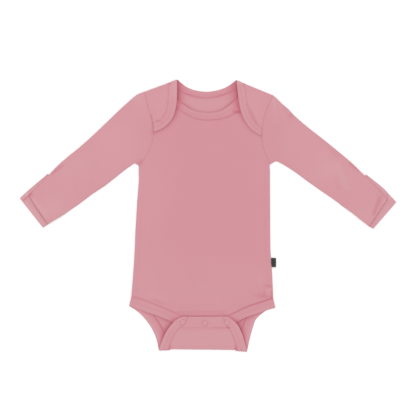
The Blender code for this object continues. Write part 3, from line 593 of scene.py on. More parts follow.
def crossing(first, second, near):
    """The places along two curves where they cross, nearest to a point."""

    def turned(one, other):
        return one[..., 0] * other[..., 1] - one[..., 1] * other[..., 0]

    p, q = first[:-1, None], second[None, :-1]
    r, s = np.diff(first, axis=0)[:, None], np.diff(second, axis=0)[None]
    turn = turned(r, s)
    turn = np.where(np.abs(turn) < TINY, np.nan, turn)
    t, u = turned(q - p, s) / turn, turned(q - p, r) / turn
    meets = (t >= -TOUCH) & (t <= 1 + TOUCH) & (u >= -TOUCH) & (u <= 1 + TOUCH)
    gap = np.where(meets, np.linalg.norm(p + t[..., None] * r - near, axis=-1), np.inf)
    i, j = np.unravel_index(np.argmin(gap), gap.shape)
    if not np.isfinite(gap[i, j]):
        raise ValueError("two edges of a pattern piece do not meet")
    return i + t[i, j], j + u[i, j]


def trimmed(edges):
    """Anticlockwise edges, each a curve and its inset, moved in and cut."""
    moved = [shifted(curve, inset) for curve, inset in edges]
    starts, ends = [0.0] * len(edges), [0.0] * len(edges)
    for index, (curve, _) in enumerate(edges):
        after = (index + 1) % len(edges)
        ends[index], starts[after] = crossing(moved[index], moved[after], curve[-1])
    return [
        at(line, [first, *range(math.floor(first) + 1, math.ceil(last)), last])
        for line, first, last in zip(moved, starts, ends)
    ]


def loft(bottom, right, top, left, rise, shares):
    """Rows from the bottom edge to the top one; the end shapes fade inwards."""
    s = shares[:, None]
    low = bottom - (bottom[0] * (1 - s) + bottom[-1] * s)
    high = top - (top[0] * (1 - s) + top[-1] * s)
    up = rise[:, None, None]
    rows = left[:, None] * (1 - s) + right[:, None] * s
    return rows + low * (1 - up) ** END_FADE + high * up**END_FADE


def nearest(plan, line):
    """How far plan points are from a curve, and the nearest places on it."""
    least = np.full(plan.shape[:-1], np.inf)
    place = np.zeros(plan.shape[:-1])
    for index, (start, end) in enumerate(zip(line, line[1:])):
        way = end - start
        share = np.clip((plan - start) @ way / max(way @ way, TINY), 0.0, 1.0)
        away = np.linalg.norm(plan - start - share[..., None] * way, axis=-1)
        place = np.where(away < least, index + share, place)
        least = np.minimum(least, away)
    return least, place


def distance(plan, lines):
    """How far plan points are from the nearest of some curves."""
    return np.minimum.reduce([nearest(plan, line)[0] for line in lines])


def line_profile(plan, start_x, start_y, end_x, end_y, half_width):
    """A soft line between two plan points: its profile, and places along it."""
    start = np.array((start_x, start_y))
    way = np.array((end_x, end_y)) - start
    place = (plan - start) @ way / (way @ way)
    close = start + np.clip(place, 0.0, 1.0)[..., None] * way
    return bell(np.linalg.norm(plan - close, axis=-1), half_width), place


def creases(plan, table):
    """Creases that run out towards both of their ends."""
    lift = np.zeros(plan.shape[:-1])
    for *line, height in table:
        profile, place = line_profile(plan, *line)
        lift += height * profile * ease(CREASE_ENDS * place) * ease(CREASE_ENDS * (1 - place))
    return lift


def slack(plan):
    """Broad, shallow waves of loose cloth, on lengths of some tens of mm."""
    x, y = plan[..., 0], plan[..., 1]
    broad = np.sin(x / 13 + 0.8 * np.sin(y / 29)) * np.sin(y / 37 + 1.3)
    narrow = np.sin((x + 0.6 * y) / 17 + 0.7) * np.sin((y - 0.4 * x) / 23)
    return SLACK_BROAD * broad + SLACK_NARROW * narrow


def relief(plan):
    """How far folds, creases and slack lift the upper cloth."""
    folds = sum(height * line_profile(plan, *line)[0] for *line, height in FOLDS)
    return np.maximum(folds + creases(plan, CREASES) + slack(plan), LOWEST)


def lifted(plan, layer, wall):
    """The middle surface of a wall on a layer, over plan points."""
    layer = np.broadcast_to(np.asarray(layer, float), plan.shape[:-1])
    height = layer * LAYER + wall / 2 + creases(plan, UNDER_CREASES)
    height = height + np.clip(layer, 0, 1) * relief(plan)
    return np.concatenate((plan, height[..., None]), axis=-1)


def level(number):
    return lambda plan: number


def tail_layer(plan):
    """The tail lies on the back at its foot and on the front hem at its head."""
    return 1 + ease((plan[..., 1] - TAIL_FOOT) / (TAIL_HEAD - TAIL_FOOT))


def fold_round(low_row, high_row, radius, outward, outward_end=None):
    """Rows that turn half round a fold, from the lower layer to the upper.

    outward is the way out at the row's start, and all along it where no other
    way is given for its end.
    """
    angles = np.pi * np.arange(1, FOLD_STEPS) / FOLD_STEPS
    share = np.linspace(0.0, 1.0, len(low_row))[:, None]
    outward = outward * (1 - share) + (outward if outward_end is None else outward_end) * share
    outward = np.column_stack((outward, np.zeros(len(low_row))))
    rise = ((1 - np.cos(angles)) / 2)[:, None, None]
    swing = (radius * np.sin(angles))[:, None, None]
    return low_row * (1 - rise) + high_row * rise + outward * swing


def outward_from(row, inside):
    """The unit direction square to a fold's row, away from an inside point."""
    along = unit(row[-1, :2] - row[0, :2])
    square = np.array((-along[1], along[0]))
    return -square if square @ (inside - row[0, :2]) > 0 else square


def shares_of(row):
    """How far along a straight row each of its points lies, for rows of them."""
    gone = np.linalg.norm(row[:, :2] - row[0, :2], axis=1)
    return (gone / gone[-1])[None, :, None]


def armhole_part(side, first, last):
    """The armhole seam between two of its table's rows."""
    return drawn(ARMHOLE, side)[first * CURVE_STEPS : last * CURVE_STEPS + 1]


def panel_side(side, leg, top_row):
    """A panel's curves on one side, from the bottom up, and how far each turns."""
    seam = drawn(SIDE, side)[::-1]
    gone = reach(seam)
    turn = ease(np.minimum(gone, gone[-1] - gone) / SIDE_TURN_RUN)
    curves = [seam, armhole_part(side, top_row, len(ARMHOLE) - 1)[::-1]]
    if leg:
        curves.insert(0, drawn(leg, side)[::-1])
    return curves, [turn if curve is seam else np.zeros(len(curve)) for curve in curves]


def side_edges(side, curves, turns, inner):
    """A side's anticlockwise edges, where its turn starts or at its very end."""
    flat, turned = HALF_GAP, CLOTH / 2
    if inner:
        flat, turned = flat + SIDE_TURN * np.pi / 2, turned + SIDE_TURN
    found = [(curve, flat + (turned - flat) * turn) for curve, turn in zip(curves, turns)]
    return found if side > 0 else [(curve[::-1], inset[::-1]) for curve, inset in found[::-1]]


def body_panel(bottom, tops, leg, top_row, layer):
    """A front or back panel: flat, with sides that turn to meet each other.

    bottom and tops are anticlockwise lists of a curve and its inset.
    """
    left, right = (panel_side(side, leg, top_row) for side in (-1, 1))
    low, many = len(bottom), len(right[0])
    last = low + many + len(tops)
    cuts = []
    for inner in (True, False):
        edges = side_edges(1, *right, inner) + tops + side_edges(-1, *left, inner)
        cut = trimmed(bottom + edges)
        lefts = [line[::-1] for line in cut[last:]][::-1]
        cuts.append((cut[:low], cut[low : low + many], cut[low + many : last], lefts))
    inside, outside = cuts
    ups, gone, turn = [], [], []
    for index in range(many):
        length = (reach(inside[1][index])[-1] + reach(inside[3][index])[-1]) / 2
        places = graded(length, start=index == 0, end=index == many - 1)[min(index, 1) :]
        ups.append(places)
        gone.append(places * length + (gone[-1][-1] if gone else 0.0))
        turn.append(resample(right[1][index][:, None], places, reach(right[0][index])))
    left_in, right_in, left_out, right_out = (
        np.vstack([resample(line, places) for line, places in zip(cut[group], ups)])
        for cut in cuts
        for group in (3, 1)
    )
    turn, gone = np.concatenate(turn), np.concatenate(gone)

    parts = []
    for head in inside[2][::-1]:
        curve = head[::-1]
        parts.append(resample(curve, graded(reach(curve)[-1]))[min(len(parts), 1) :])
    top = np.vstack(parts)
    shares = chord_shares(top)
    base = np.vstack(inside[0])
    base = at(base, shares, chord_shares(base))
    plan = loft(base, right_in, top, left_in, gone / gone[-1], shares)

    angles = np.pi / 2 * np.arange(1, TURN_STEPS + 1) / TURN_STEPS
    flat_reach = angles * 2 / np.pi
    way_out = flat_reach + (np.sin(angles) - flat_reach) * turn
    drop = (-1 if layer else 1) * (1 - np.cos(angles)) * SIDE_TURN * turn
    columns = []
    for start, end in ((left_in, left_out), (right_in, right_out)):
        column = start[:, None] + (end - start)[:, None] * way_out[..., None]
        column = lifted(column, layer, CLOTH)
        column[..., 2] += drop
        columns.append(column)
    rows = np.concatenate((columns[0][:, ::-1], lifted(plan, layer, CLOTH), columns[1]), axis=1)
    sides = [outside[1][many - 2], outside[3][many - 2]]
    seams = [line for group in outside for line in group if not any(line is s for s in sides)]
    return rows, seams, sides, (len(parts[0]), len(parts[-1]) + 1)


FIELDS = ("seam", "edge", "pale_and_lit", "shade")


class Grid:
    """Rows of points on a middle surface, and what the cloth shows on them."""

    def __init__(self, points, borders=(), seams=None, closed=False, grain=None):
        self.points = points
        self.closed = closed
        plan = points[..., :2]
        self.edge = distance(plan, borders) if borders else np.full(plan.shape[:-1], FAR)
        self.seam = self.edge if seams is None else distance(plan, seams)
        # How pale each point is, painted highlights included, and its painted shade and painted
        # shadows
        self.pale_and_lit = np.zeros(plan.shape[:-1])
        self.shade = np.zeros(plan.shape[:-1])
        self.sewn = True
        self.droop = 0.0
        self.grain = plan if grain is None else grain

    def settle(self, depth, run):
        """Lets the cloth dip towards its seams."""
        self.points[..., 2] -= depth * bell(self.seam, run)

    def press(self, sides, ridges):
        """Lets the seam allowance inside show as ridges beside the side seams."""
        away = distance(self.points[..., :2], sides)
        for height, place, width in ridges:
            self.points[..., 2] += height * bell(away - place, width)
        return away

    def normals(self):
        """Unit normals of the grid's points."""
        along = np.gradient(self.points, axis=1)
        return unit(np.cross(along, np.gradient(self.points, axis=0)))


def run_grain(points, closed=False):
    """Grain coordinates that follow a grid's own rows and columns."""
    if closed:
        points = np.concatenate((points, points[:, :1]), axis=1)
    u = np.cumsum(np.linalg.norm(np.diff(points, axis=1), axis=2), axis=1)
    v = np.cumsum(np.linalg.norm(np.diff(points, axis=0), axis=2), axis=0)
    u, v = np.pad(u, ((0, 0), (1, 0))), np.pad(v, ((1, 0), (0, 0)))
    return np.stack((u - u.mean(axis=1, keepdims=True), v), axis=-1)


def front_panel_grid():
    """From the neck band's seam to the leg bands and the hidden hem."""
    left_leg, right_leg = drawn(LEG_FRONT_SEAM, -1), drawn(LEG_FRONT_SEAM, 1)[::-1]
    hem = straight(left_leg[-1], right_leg[0])
    bottom = [(left_leg, HALF_GAP), (hem, 0.0), (right_leg, HALF_GAP)]
    neck = [(across(FRONT_NECK_SEAM)[::-1], HALF_GAP)]
    rows, seams, sides, _ = body_panel(bottom, neck, None, FRONT_BAND_SEAM, 1)
    grid = Grid(rows, seams)
    away = grid.press(sides, SIDE_RIDGES)
    # Painted shade beside the pressed ridge
    strength, place, width = RIDGE_SHADE
    grid.shade += strength * bell(away - place, width)
    return grid


def lap_shoulder(side, top_row):
    """A lap shoulder, over its fold and down the front to its tip.

    top_row is the back panel's edge at the fold, from the armhole inwards.
    """
    flip = np.array((-side, 1.0))
    hole = armhole_part(side, 0, FLAP_TIP_SEAM)
    seam = drawn(FLAP_SEAM, side)
    line = straight(seam[0], hole[0])
    edges = [(hole, HALF_GAP), (seam[::-1], HALF_GAP), (line, SHOULDER_FOLD)]
    cut = trimmed([(curve * flip, inset) for curve, inset in edges])
    hole_cut, seam_cut = cut[0] * flip, cut[1][::-1] * flip
    down = graded(reach(seam_cut)[-1], start=False)
    count = len(FLAP_ROWS) - 1
    table_row = np.interp(down * count, range(count + 1), FLAP_ROWS)
    gone = reach(hole)
    down_hole = np.interp(table_row * CURVE_STEPS, range(len(hole)), gone) / gone[-1]
    outer = resample(hole_cut, down_hole)[:, None]
    inner = resample(seam_cut, down)[:, None]
    places = shares_of(top_row)
    rows = lifted(outer * (1 - places) + inner * places, 2, CLOTH)
    square = outward_from(top_row, hole[-1])
    hole_way = unit(hole[0] - hole[CURVE_STEPS])
    turn = fold_round(top_row, rows[0], LAYER, hole_way / (hole_way @ square), square)
    return Grid(np.concatenate((top_row[None], turn, rows)), [hole_cut, seam_cut])


def tail_grid(low_row):
    """The crotch tail: over its fold and up the front."""
    left, right = drawn(TAIL_SEAM, -1), drawn(TAIL_SEAM, 1)
    foot = straight(left[0], right[0])
    head = straight(right[-1], left[-1])
    edges = [(foot, SIDE_FOLD), (right, HALF_GAP), (head, 0.0), (left[::-1], HALF_GAP)]
    _, right, head, left = trimmed(edges)
    left = left[::-1]
    up = graded((reach(left)[-1] + reach(right)[-1]) / 2, start=False)
    places = shares_of(low_row)
    plan = resample(left, up)[:, None] * (1 - places) + resample(right, up)[:, None] * places
    rows = lifted(plan, tail_layer(plan), CLOTH)
    turn = fold_round(low_row, rows[0], LAYER / 2, DOWN)
    grid = Grid(np.concatenate((low_row[None], turn, rows)), [left, right, head], [left, right])
    below = TAIL_HEAD + TAIL_PALE_RUN / 2 - grid.points[..., 1]
    grid.pale_and_lit += TAIL_PALE * (1 + ease(below / TAIL_PALE_RUN)) / 2
    return grid


def back_panel_grids():
    """One cloth: the back, both lap shoulders and the crotch tail."""
    legs = {side: drawn(LEG_BACK_SEAM, side) for side in (-1, 1)}
    neck = across(BACK_NECK_SEAM)[::-1]
    crotch = straight(legs[-1][-1], legs[1][-1])
    right_top, left_top = (armhole_part(side, 0, 1)[0] for side in (1, -1))
    tops = [
        (straight(right_top, neck[0]), SHOULDER_FOLD),
        (neck, HALF_GAP),
        (straight(neck[-1], left_top), SHOULDER_FOLD),
    ]
    bottom = [(crotch, SIDE_FOLD)]
    rows, seams, sides, shoulder = body_panel(bottom, tops, LEG_BACK_SEAM, 0, 0)
    body = Grid(rows, seams)
    body.pale_and_lit[:] = INNER_PALE
    body.press(sides, UNDER_RIDGES)
    left = lap_shoulder(-1, rows[-1][: TURN_STEPS + shoulder[0]])
    right = lap_shoulder(1, rows[-1][::-1][: TURN_STEPS + shoulder[1]])
    return [body, left, right, tail_grid(rows[0])]


def strip(seam, edge, start_inset, end_inset, layer_of):
    """Rows across a band, from its seam to its free edge."""
    flip = np.array((np.sign(np.cross(seam[1] - seam[0], edge[0] - seam[0])), 1.0))
    edges = [
        (seam, HALF_GAP),
        (straight(seam[-1], edge[-1]), end_inset),
        (edge[::-1], 0.0),
        (straight(edge[0], seam[0]), start_inset),
    ]
    cut = trimmed([(curve * flip, inset) for curve, inset in edges])
    seam, edge = cut[0] * flip, cut[2][::-1] * flip
    length = (reach(seam)[-1] + reach(edge)[-1]) / 2
    parts = np.linspace(0.0, 1.0, math.ceil(length / BAND_STEP) + 1)
    inner, outer = resample(seam, parts)[:, None], resample(edge, parts)[:, None]
    places = BAND_PLACES[None, :, None]
    plan = inner * (1 - places) + outer * places
    return lifted(plan, layer_of(plan), BAND)


def band_grid(rows):
    """A binding with a soft crown, pressed down along its rows of stitches."""
    widths = np.linalg.norm(np.diff(rows, axis=1), axis=2)
    from_seam = np.pad(np.cumsum(widths, axis=1), ((0, 0), (1, 0)))
    full = from_seam[:, -1:]
    grid = Grid(rows, grain=run_grain(rows)[..., ::-1])
    grid.seam = from_seam
    grid.edge = np.minimum(from_seam, full - from_seam)
    place = from_seam / full
    crown = BAND_CROWN * arch(place)
    width, depth, dark = BAND_GROOVE
    for row in STITCH_ROWS:
        groove = bell((place - row) * full, width)
        crown -= depth * groove
        # Painted shade in the stitch groove
        grid.shade += dark * groove
    # Painted highlight towards the free edge
    grid.pale_and_lit += BAND_PALE["free"] * place**2
    grid.points[..., 2] += crown
    on_floor, more, width = BAND_DROOP
    laid = ease((grid.points[..., 2] - BAND / 2) / LAYER)
    grid.droop = (on_floor + more * laid) * bell(full - from_seam, width)
    return grid


def front_neck_grid():
    lines = across(FRONT_NECK_SEAM), across(FRONT_NECK_EDGE)
    return band_grid(strip(*lines, HALF_GAP, HALF_GAP, level(1)))


def back_neck_grid():
    """One strip: up a lap shoulder, round the back neck, down the other."""
    lines = across(BACK_NECK_SEAM), across(BACK_NECK_EDGE)
    neck = strip(*lines, SHOULDER_FOLD, SHOULDER_FOLD, level(0))
    parts = [neck]
    for side, low_row in ((-1, neck[0]), (1, neck[-1])):
        seam, edge = drawn(FLAP_SEAM, side), drawn(FLAP_EDGE, side)
        lap = strip(seam, edge, SHOULDER_FOLD, HALF_GAP, level(2))
        turn = fold_round(low_row, lap[0], LAYER, outward_from(low_row, seam[-1]))
        whole = np.concatenate((turn, lap))
        parts = [whole[::-1], *parts] if side < 0 else [*parts, whole]
    return band_grid(np.concatenate(parts))


def leg_grid(side):
    """One strip round a leg opening: front hem, hip, crotch fold, tail."""
    front, back, tail = (
        strip(drawn(seam, side), drawn(edge, side), *insets, layer_of)
        for seam, edge, insets, layer_of in (
            (LEG_FRONT_SEAM, LEG_FRONT_EDGE, (SIDE_FOLD, 0.0), level(1)),
            (LEG_BACK_SEAM, LEG_BACK_EDGE, (SIDE_FOLD, BAND_FOLD), level(0)),
            (TAIL_SEAM, TAIL_EDGE, (BAND_FOLD, 0.0), tail_layer),
        )
    )
    hip = fold_round(back[0], front[0], LAYER / 2, outward_from(back[0], np.zeros(2)))
    crotch = fold_round(back[-1], tail[0], LAYER / 2, DOWN)
    grid = band_grid(np.concatenate((front[::-1], hip[::-1], back, crotch, tail)))
    # Paler on the tail, and a painted highlight towards the free edge of the part behind
    grid.pale_and_lit[-len(tail) :] += BAND_PALE["tail"]
    behind = slice(len(front) + len(hip), -len(tail) - len(crotch))
    width = grid.seam[behind]
    grid.pale_and_lit[behind] += BAND_PALE["back"] * (width / width[:, -1:]) ** 2
    return grid


def sleeve_grid(side, table):
    """A flat tube through its sections, from the armhole to the cuff."""
    fine = smooth(np.array(table) * (side, 1, side, 1, 1, 1, 1))
    along = reach((fine[:, :2] + fine[:, 2:4]) / 2)
    places = graded(along[-1])
    from_start = places * along[-1]
    from_end = from_start[-1] - from_start
    hole = drawn(ARMHOLE, side)
    across_place = chord_shares(hole)[:, None]
    bow = hole - (hole[0] + across_place * (hole[-1] - hole[0]))
    outwards = leftwards(hole) * side * HALF_GAP
    number = np.arange(len(hole)) / CURVE_STEPS
    rise = 1 - ease((number - FLAP_TIP_SEAM + SWELL_LEAD) / SWELL_RUN)
    half = CLOTH / 2
    angles = np.pi * np.arange(1, TUBE_TURN_STEPS) / TUBE_TURN_STEPS
    dip, dip_run = SLEEVE_DIP
    rings = []
    for section, start, end in zip(resample(fine, places, along), from_start, from_end):
        bent, swell, lift = np.clip(section[4:], 0.0, None)
        plan = section[:2] + across_place * (section[2:4] - section[:2])
        plan = plan + bow * bent + outwards * math.exp(-start / GAP_RUN)
        top = LAYER + CLOTH + lift + LAYER * rise * swell - dip * bell(start, dip_run)
        puff = SLEEVE_PUFF * ease(start / PUFF_RUNS[0]) * ease(end / PUFF_RUNS[1])
        gone = reach(plan)
        total = gone[-1]
        heights = top + relief(plan)
        first, last = (heights[0] - lift) / 2, (heights[-1] - lift) / 2
        stops = (first + (total - first - last) * TUBE_SHARES) / total
        upper = resample(plan, stops)
        tops = np.interp(stops * total, gone, heights) + puff * arch(TUBE_SHARES)
        under = lift + half + creases(upper, UNDER_CREASES)
        turns = []
        for centre, corner, radius, order in (
            (upper[-1], plan[-1], last, 1),
            (upper[0], plan[0], first, -1),
        ):
            swing = (radius - half) * np.sin(angles)[:, None]
            height = lift + radius + order * (radius - half) * np.cos(angles)
            turns.append(np.column_stack((centre + unit(corner - centre) * swing, height)))
        over = np.column_stack((upper, tops - half))
        below = np.column_stack((upper, under))[::-1]
        rings.append(np.concatenate((over, turns[0], below, turns[1])))
    points = np.array(rings)
    grid = Grid(points, closed=True, grain=run_grain(points, closed=True))
    grid.edge = np.broadcast_to(np.minimum(from_start, from_end)[:, None], points.shape[:2])
    grid.seam = np.broadcast_to(from_start[:, None], points.shape[:2])
    return grid


def mitten_grid(side, sleeve):
    """A fold-over mitten, laid flat behind the cuff of its sleeve."""
    upper, lower = drawn(MITTEN_UPPER, side), drawn(MITTEN_LOWER, side)
    rows = graded(reach(upper)[-1], STEPS_ACROSS["mitten"])
    wide = np.linalg.norm(upper[-1] - lower[-1])
    places = graded(wide, STEPS_ACROSS["mitten"])[None, :, None]
    plan = resample(upper, rows)[:, None] * (1 - places) + resample(lower, rows)[:, None] * places
    end_line = plan[-1, ::COARSER]
    grid = Grid(lifted(plan, 0, CLOTH), [upper, lower, plan[0, ::COARSER], end_line])
    grid.seam = np.full(plan.shape[:-1], 10 * FAR)
    grid.sewn = False
    from_end = distance(plan, [end_line])
    grid.grain = np.stack((np.broadcast_to(places[..., 0] * wide, from_end.shape), from_end), -1)
    height, place, width = HEM_SWELL
    ribs = height * bell(from_end - place, width)
    start, run = HEM_PALE_END
    grid.pale_and_lit[:] = MITTEN_PALE[side] * (1 - ease((from_end - start) / run))
    # Grooves in the hem, with painted shade in them
    for row in MITTEN_STITCHES:
        ribs -= HEM_GROOVE[1] * bell(from_end - row, HEM_GROOVE[0])
        grid.shade += HEM_LINE[1] * bell(from_end - row, HEM_LINE[0])
    grid.points[..., 2] += np.clip(ribs, 0.0, None)
    # Painted light beside the sleeve's edge
    beside = distance(plan, [np.array([(side * row[0], row[1]) for row in sleeve[-4:]])])
    grid.pale_and_lit += MITTEN_BESIDE_LIGHT[side] * np.exp(-beside / BESIDE_RUN)
    start, run = HEM_SHADE_END
    grid.shade += MITTEN_SHADE * ease((from_end - start) / run)
    return grid


def tape_grid():
    """A bare loop of tape, caught in the side seam."""
    half, turn = CLOTH / 2, LAYER / 2
    bend = LABEL_END - SIDE_FOLD
    angles = np.pi * np.arange(TAPE_TURN_STEPS + 1) / TAPE_TURN_STEPS
    out = np.concatenate(([LABEL_ROOT_TOP], bend + turn * np.sin(angles), [LABEL_ROOT_TOP]))
    height = np.concatenate(([half], half + turn - turn * np.cos(angles), [half + LAYER]))
    loop = np.column_stack((out, height))
    round_step, up_step = STEPS_ACROSS["tape"]
    loop = resample(loop, graded(reach(loop)[-1], round_step, start=False, end=False))
    tall = LABEL_TOP - LABEL_BOTTOM
    ups = (LABEL_BOTTOM + tall * graded(tall, up_step))[:, None]
    pull = (bend - loop[:, 0]).clip(0.0, None) / (bend - LABEL_ROOT_TOP)
    out = loop[:, 0] + (LABEL_ROOT_BOTTOM - LABEL_ROOT_TOP) * (LABEL_TOP - ups) / tall * pull
    points = np.stack(np.broadcast_arrays(out, ups, loop[:, 1]), axis=-1)
    grid = Grid(points, grain=run_grain(points))
    grid.edge = np.broadcast_to(np.minimum(ups - ups[0], ups[-1] - ups), out.shape)
    grid.sewn = False
    return grid


def edge_contacts():
    """Edges that lie over other cloth, and the painted shadows beside them: line, layer, strengths
    and widths.
    """
    found = []
    for edge, shadows, layer_of in (
        (FLAP_EDGE, FLAP_SHADOWS, level(2)),
        (TAIL_EDGE, TAIL_SHADOWS, tail_layer),
        (LEG_FRONT_EDGE, LEG_SHADOWS, level(1)),
        (FRONT_NECK_EDGE, NECK_SHADOWS, level(1)),
    ):
        for side, column in ((-1, 0), (1, 2)):
            line = drawn(edge, side, CONTACT_STEPS)
            rows = np.array(shadows)[:, column : column + 2]
            found.append((line, layer_of, *at(rows, np.arange(len(line)) / CONTACT_STEPS).T))
    head = np.array((one_side(TAIL_EDGE, -1)[-1], one_side(TAIL_EDGE, 1)[-1]))
    ends = [(head, tail_layer, TAIL_TOP_SHADOW)]
    for (_, side, table), shadow in zip(SIDES, CUFF_SHADOWS):
        cuff = np.array(table[-1][:4]) * (side, 1, side, 1)
        ends.append((cuff.reshape(2, 2), level(0.5), shadow))
    for line, layer_of, shadow in ends:
        found.append((line, layer_of, *(np.full(2, value) for value in shadow)))
    return found


def seam_lines():
    """Every seam's line on each side, how dark the painted shade along it is and how far that
    spreads.
    """
    found = []
    for table, *depths, spread in SEAM_SHADE_DEPTHS:
        for side, (first, last) in zip((-1, 1), depths):
            line = drawn(table, side, CONTACT_STEPS)
            found.append((line, np.linspace(first, last, len(line)), spread))
    return found


def paint(grid):
    """Painted shade along seams, painted shadows beside edges that lie over the cloth, painted
    shade and highlights on creases, folds and marks, and paler patches.
    """
    plan, height = grid.points[..., :2], grid.points[..., 2]
    low = plan.min(axis=(0, 1)) - SHADOW_REACH
    high = plan.max(axis=(0, 1)) + SHADOW_REACH

    def near(lines):
        """The lines whose boxes touch the grid's."""
        return [
            row
            for row in lines
            if (row[0].max(axis=0) >= low).all() and (row[0].min(axis=0) <= high).all()
        ]

    # Painted shade along the seams
    darkest = np.zeros(plan.shape[:-1])
    for line, depths, spread in near(seam_lines()):
        away, place = nearest(plan, line)
        close = 1 - np.clip(np.maximum(away, grid.seam), 0.0, spread) / spread
        depth = np.interp(place, range(len(line)), depths)
        darkest = np.maximum(darkest, depth * close * close)
    grid.shade = grid.shade + grid.sewn * darkest
    # Painted shadows on the cloth under the edges that lie over it
    for line, layer_of, strengths, widths in near(edge_contacts()):
        away, place = nearest(plan, line)
        strength, width = (np.interp(place, range(len(line)), v) for v in (strengths, widths))
        under = height < layer_of(plan) * LAYER + UNDER_SLACK
        fall = np.exp(-((away / width) ** SHADOW_FADE))
        grid.shade = np.maximum(grid.shade, under * strength * fall)
    upper = (height > LAYER) | (not grid.sewn)
    # Painted shade in sunken creases and painted highlights on raised creases and folds
    lift = creases(plan, CREASES)
    for *line, rise in FOLDS:
        lift = lift + FOLD_HIGHLIGHT * rise * line_profile(plan, *line)[0]
    dark = CREASE_SHADE * np.clip(-lift, 0.0, 1.0)
    pale = CREASE_HIGHLIGHT * np.clip(lift, 0.0, 1.0)
    # Painted shade and painted highlights along the marked lines
    for *line, tone in MARKS:
        profile, _ = line_profile(plan, *line)
        dark = dark + max(tone, 0.0) * profile
        pale = pale + max(-tone, 0.0) * profile
    for *middle, half_x, half_y, strength in PALE_PATCHES:
        away = (plan - middle) / (half_x, half_y)
        pale = pale + strength * np.exp(-(away**2).sum(axis=-1))
    grid.shade = grid.shade + upper * dark
    grid.pale_and_lit = grid.pale_and_lit + upper * pale


def quads(values, closed):
    """A grid's faces, each as its four corners' values."""
    if closed:
        values = np.concatenate((values, values[:, :1]), axis=1)
    corners = (values[:-1, :-1], values[:-1, 1:], values[1:, 1:], values[1:, :-1])
    return np.stack([corner.reshape(-1, *values.shape[2:]) for corner in corners], axis=1)


def cloth_object(name, grids, wall, material):
    """One sewn piece: its grids joined along shared edges, with a wall."""
    points, faces, grain = [], [], []
    fields = {field: [] for field in FIELDS}
    first = 0
    for grid in grids:
        paint(grid)
        grid.points[..., 2] -= grid.droop
        shape = grid.points.shape[:2]
        count = shape[0] * shape[1]
        points.append(grid.points.reshape(-1, 3))
        faces.append(quads(first + np.arange(count).reshape(shape), grid.closed))
        grain.append(quads(grid.grain, False))
        for field in FIELDS:
            fields[field].append(getattr(grid, field).reshape(-1))
        first += count
    points = (np.concatenate(points) - OUTLINE_MIDDLE) * MM
    mesh = bpy.data.meshes.new(name)
    mesh.from_pydata(points.tolist(), [], np.concatenate(faces).tolist())
    for field in FIELDS:
        layer = mesh.attributes.new(field, "FLOAT", "POINT")
        layer.data.foreach_set("value", np.concatenate(fields[field]).astype(np.float32))
    uv_map = mesh.uv_layers.new(name="Grain")
    uv_map.data.foreach_set("uv", (np.concatenate(grain) * MM).astype(np.float32).ravel())
    solid = bmesh.new()
    solid.from_mesh(mesh)
    bmesh.ops.remove_doubles(solid, verts=solid.verts, dist=MERGE)
    bmesh.ops.recalc_face_normals(solid, faces=solid.faces)
    solid.to_mesh(mesh)
    solid.free()
    mesh.shade_smooth()
    mesh.materials.append(material)
    piece = linked(name, mesh)
    add_wall(piece, wall)
    return piece


def add_wall(piece, wall):
    """Thickens a piece, with rounded rims: thin where free, fuller where sewn."""
    seam, edge = (np.empty(len(piece.data.vertices), np.float32) for _ in range(2))
    piece.data.attributes["seam"].data.foreach_get("value", seam)
    piece.data.attributes["edge"].data.foreach_get("value", edge)
    inward = np.clip(edge / (wall / 2), 0.0, 1.0)
    fullness = np.sqrt(1 - (1 - inward) ** 2)
    fullness = np.where(seam <= edge + SEWN_NEAR, np.maximum(fullness, SEWN_RIM), fullness)
    group = piece.vertex_groups.new(name="Fullness")
    group.add(np.nonzero(fullness > WHOLE_RIM)[0].tolist(), 1.0, "REPLACE")
    for index in np.nonzero(fullness <= WHOLE_RIM)[0].tolist():
        group.add([index], float(fullness[index]), "REPLACE")
    solidify = piece.modifiers.new("Wall", "SOLIDIFY")
    solidify.thickness = wall * MM
    solidify.offset = 0.0
    solidify.use_even_offset = True
    solidify.vertex_group = group.name
    solidify.thickness_vertex_group = FREE_RIM


def linked(name, data):
    """A new object in the scene."""
    item = bpy.data.objects.new(name, data)
    bpy.context.scene.collection.objects.link(item)
    return item


def fill(tree, node, values):
    """Sets or links a node's inputs, given by their names or numbers."""
    for label, value in values.items():
        if isinstance(value, bpy.types.NodeSocket):
            tree.links.new(value, node.inputs[label])
        else:
            node.inputs[label].default_value = value


def add(tree, kind, values=(), **settings):
    """Adds a node, makes its settings, sets or links its inputs: its outputs."""
    node = tree.nodes.new(kind)
    for name, value in settings.items():
        setattr(node, name, value)
    fill(tree, node, values if isinstance(values, dict) else dict(enumerate(values)))
    return node.outputs


def maths(tree, operation, *values, **settings):
    return add(tree, "ShaderNodeMath", values, operation=operation, **settings)[0]


def scaled(tree, value, factor, start):
    """A value times a factor, from a start."""
    return maths(tree, "ADD", maths(tree, "MULTIPLY", value, factor), start)


def mixed(tree, share, first, second, blend="MIX"):
    """Two colours mixed by a share."""
    values = {0: share, 6: first, 7: second}
    return add(tree, "ShaderNodeMix", values, data_type="RGBA", blend_type=blend)[2]


def attribute(tree, name):
    return add(tree, "ShaderNodeAttribute", attribute_name=name)["Fac"]


def noise(tree, pattern):
    """Noise on the object's own coordinates, by its scale, detail and roughness."""
    place = add(tree, "ShaderNodeTexCoord")["Object"]
    values = dict(zip(("Vector", "Scale", "Detail", "Roughness"), (place, *pattern)))
    return add(tree, "ShaderNodeTexNoise", values)["Fac"]


def tinted(paint, factor):
    """A colour made paler or darker."""
    return [min(1.0, value * factor) for value in paint[:3]] + [1.0]


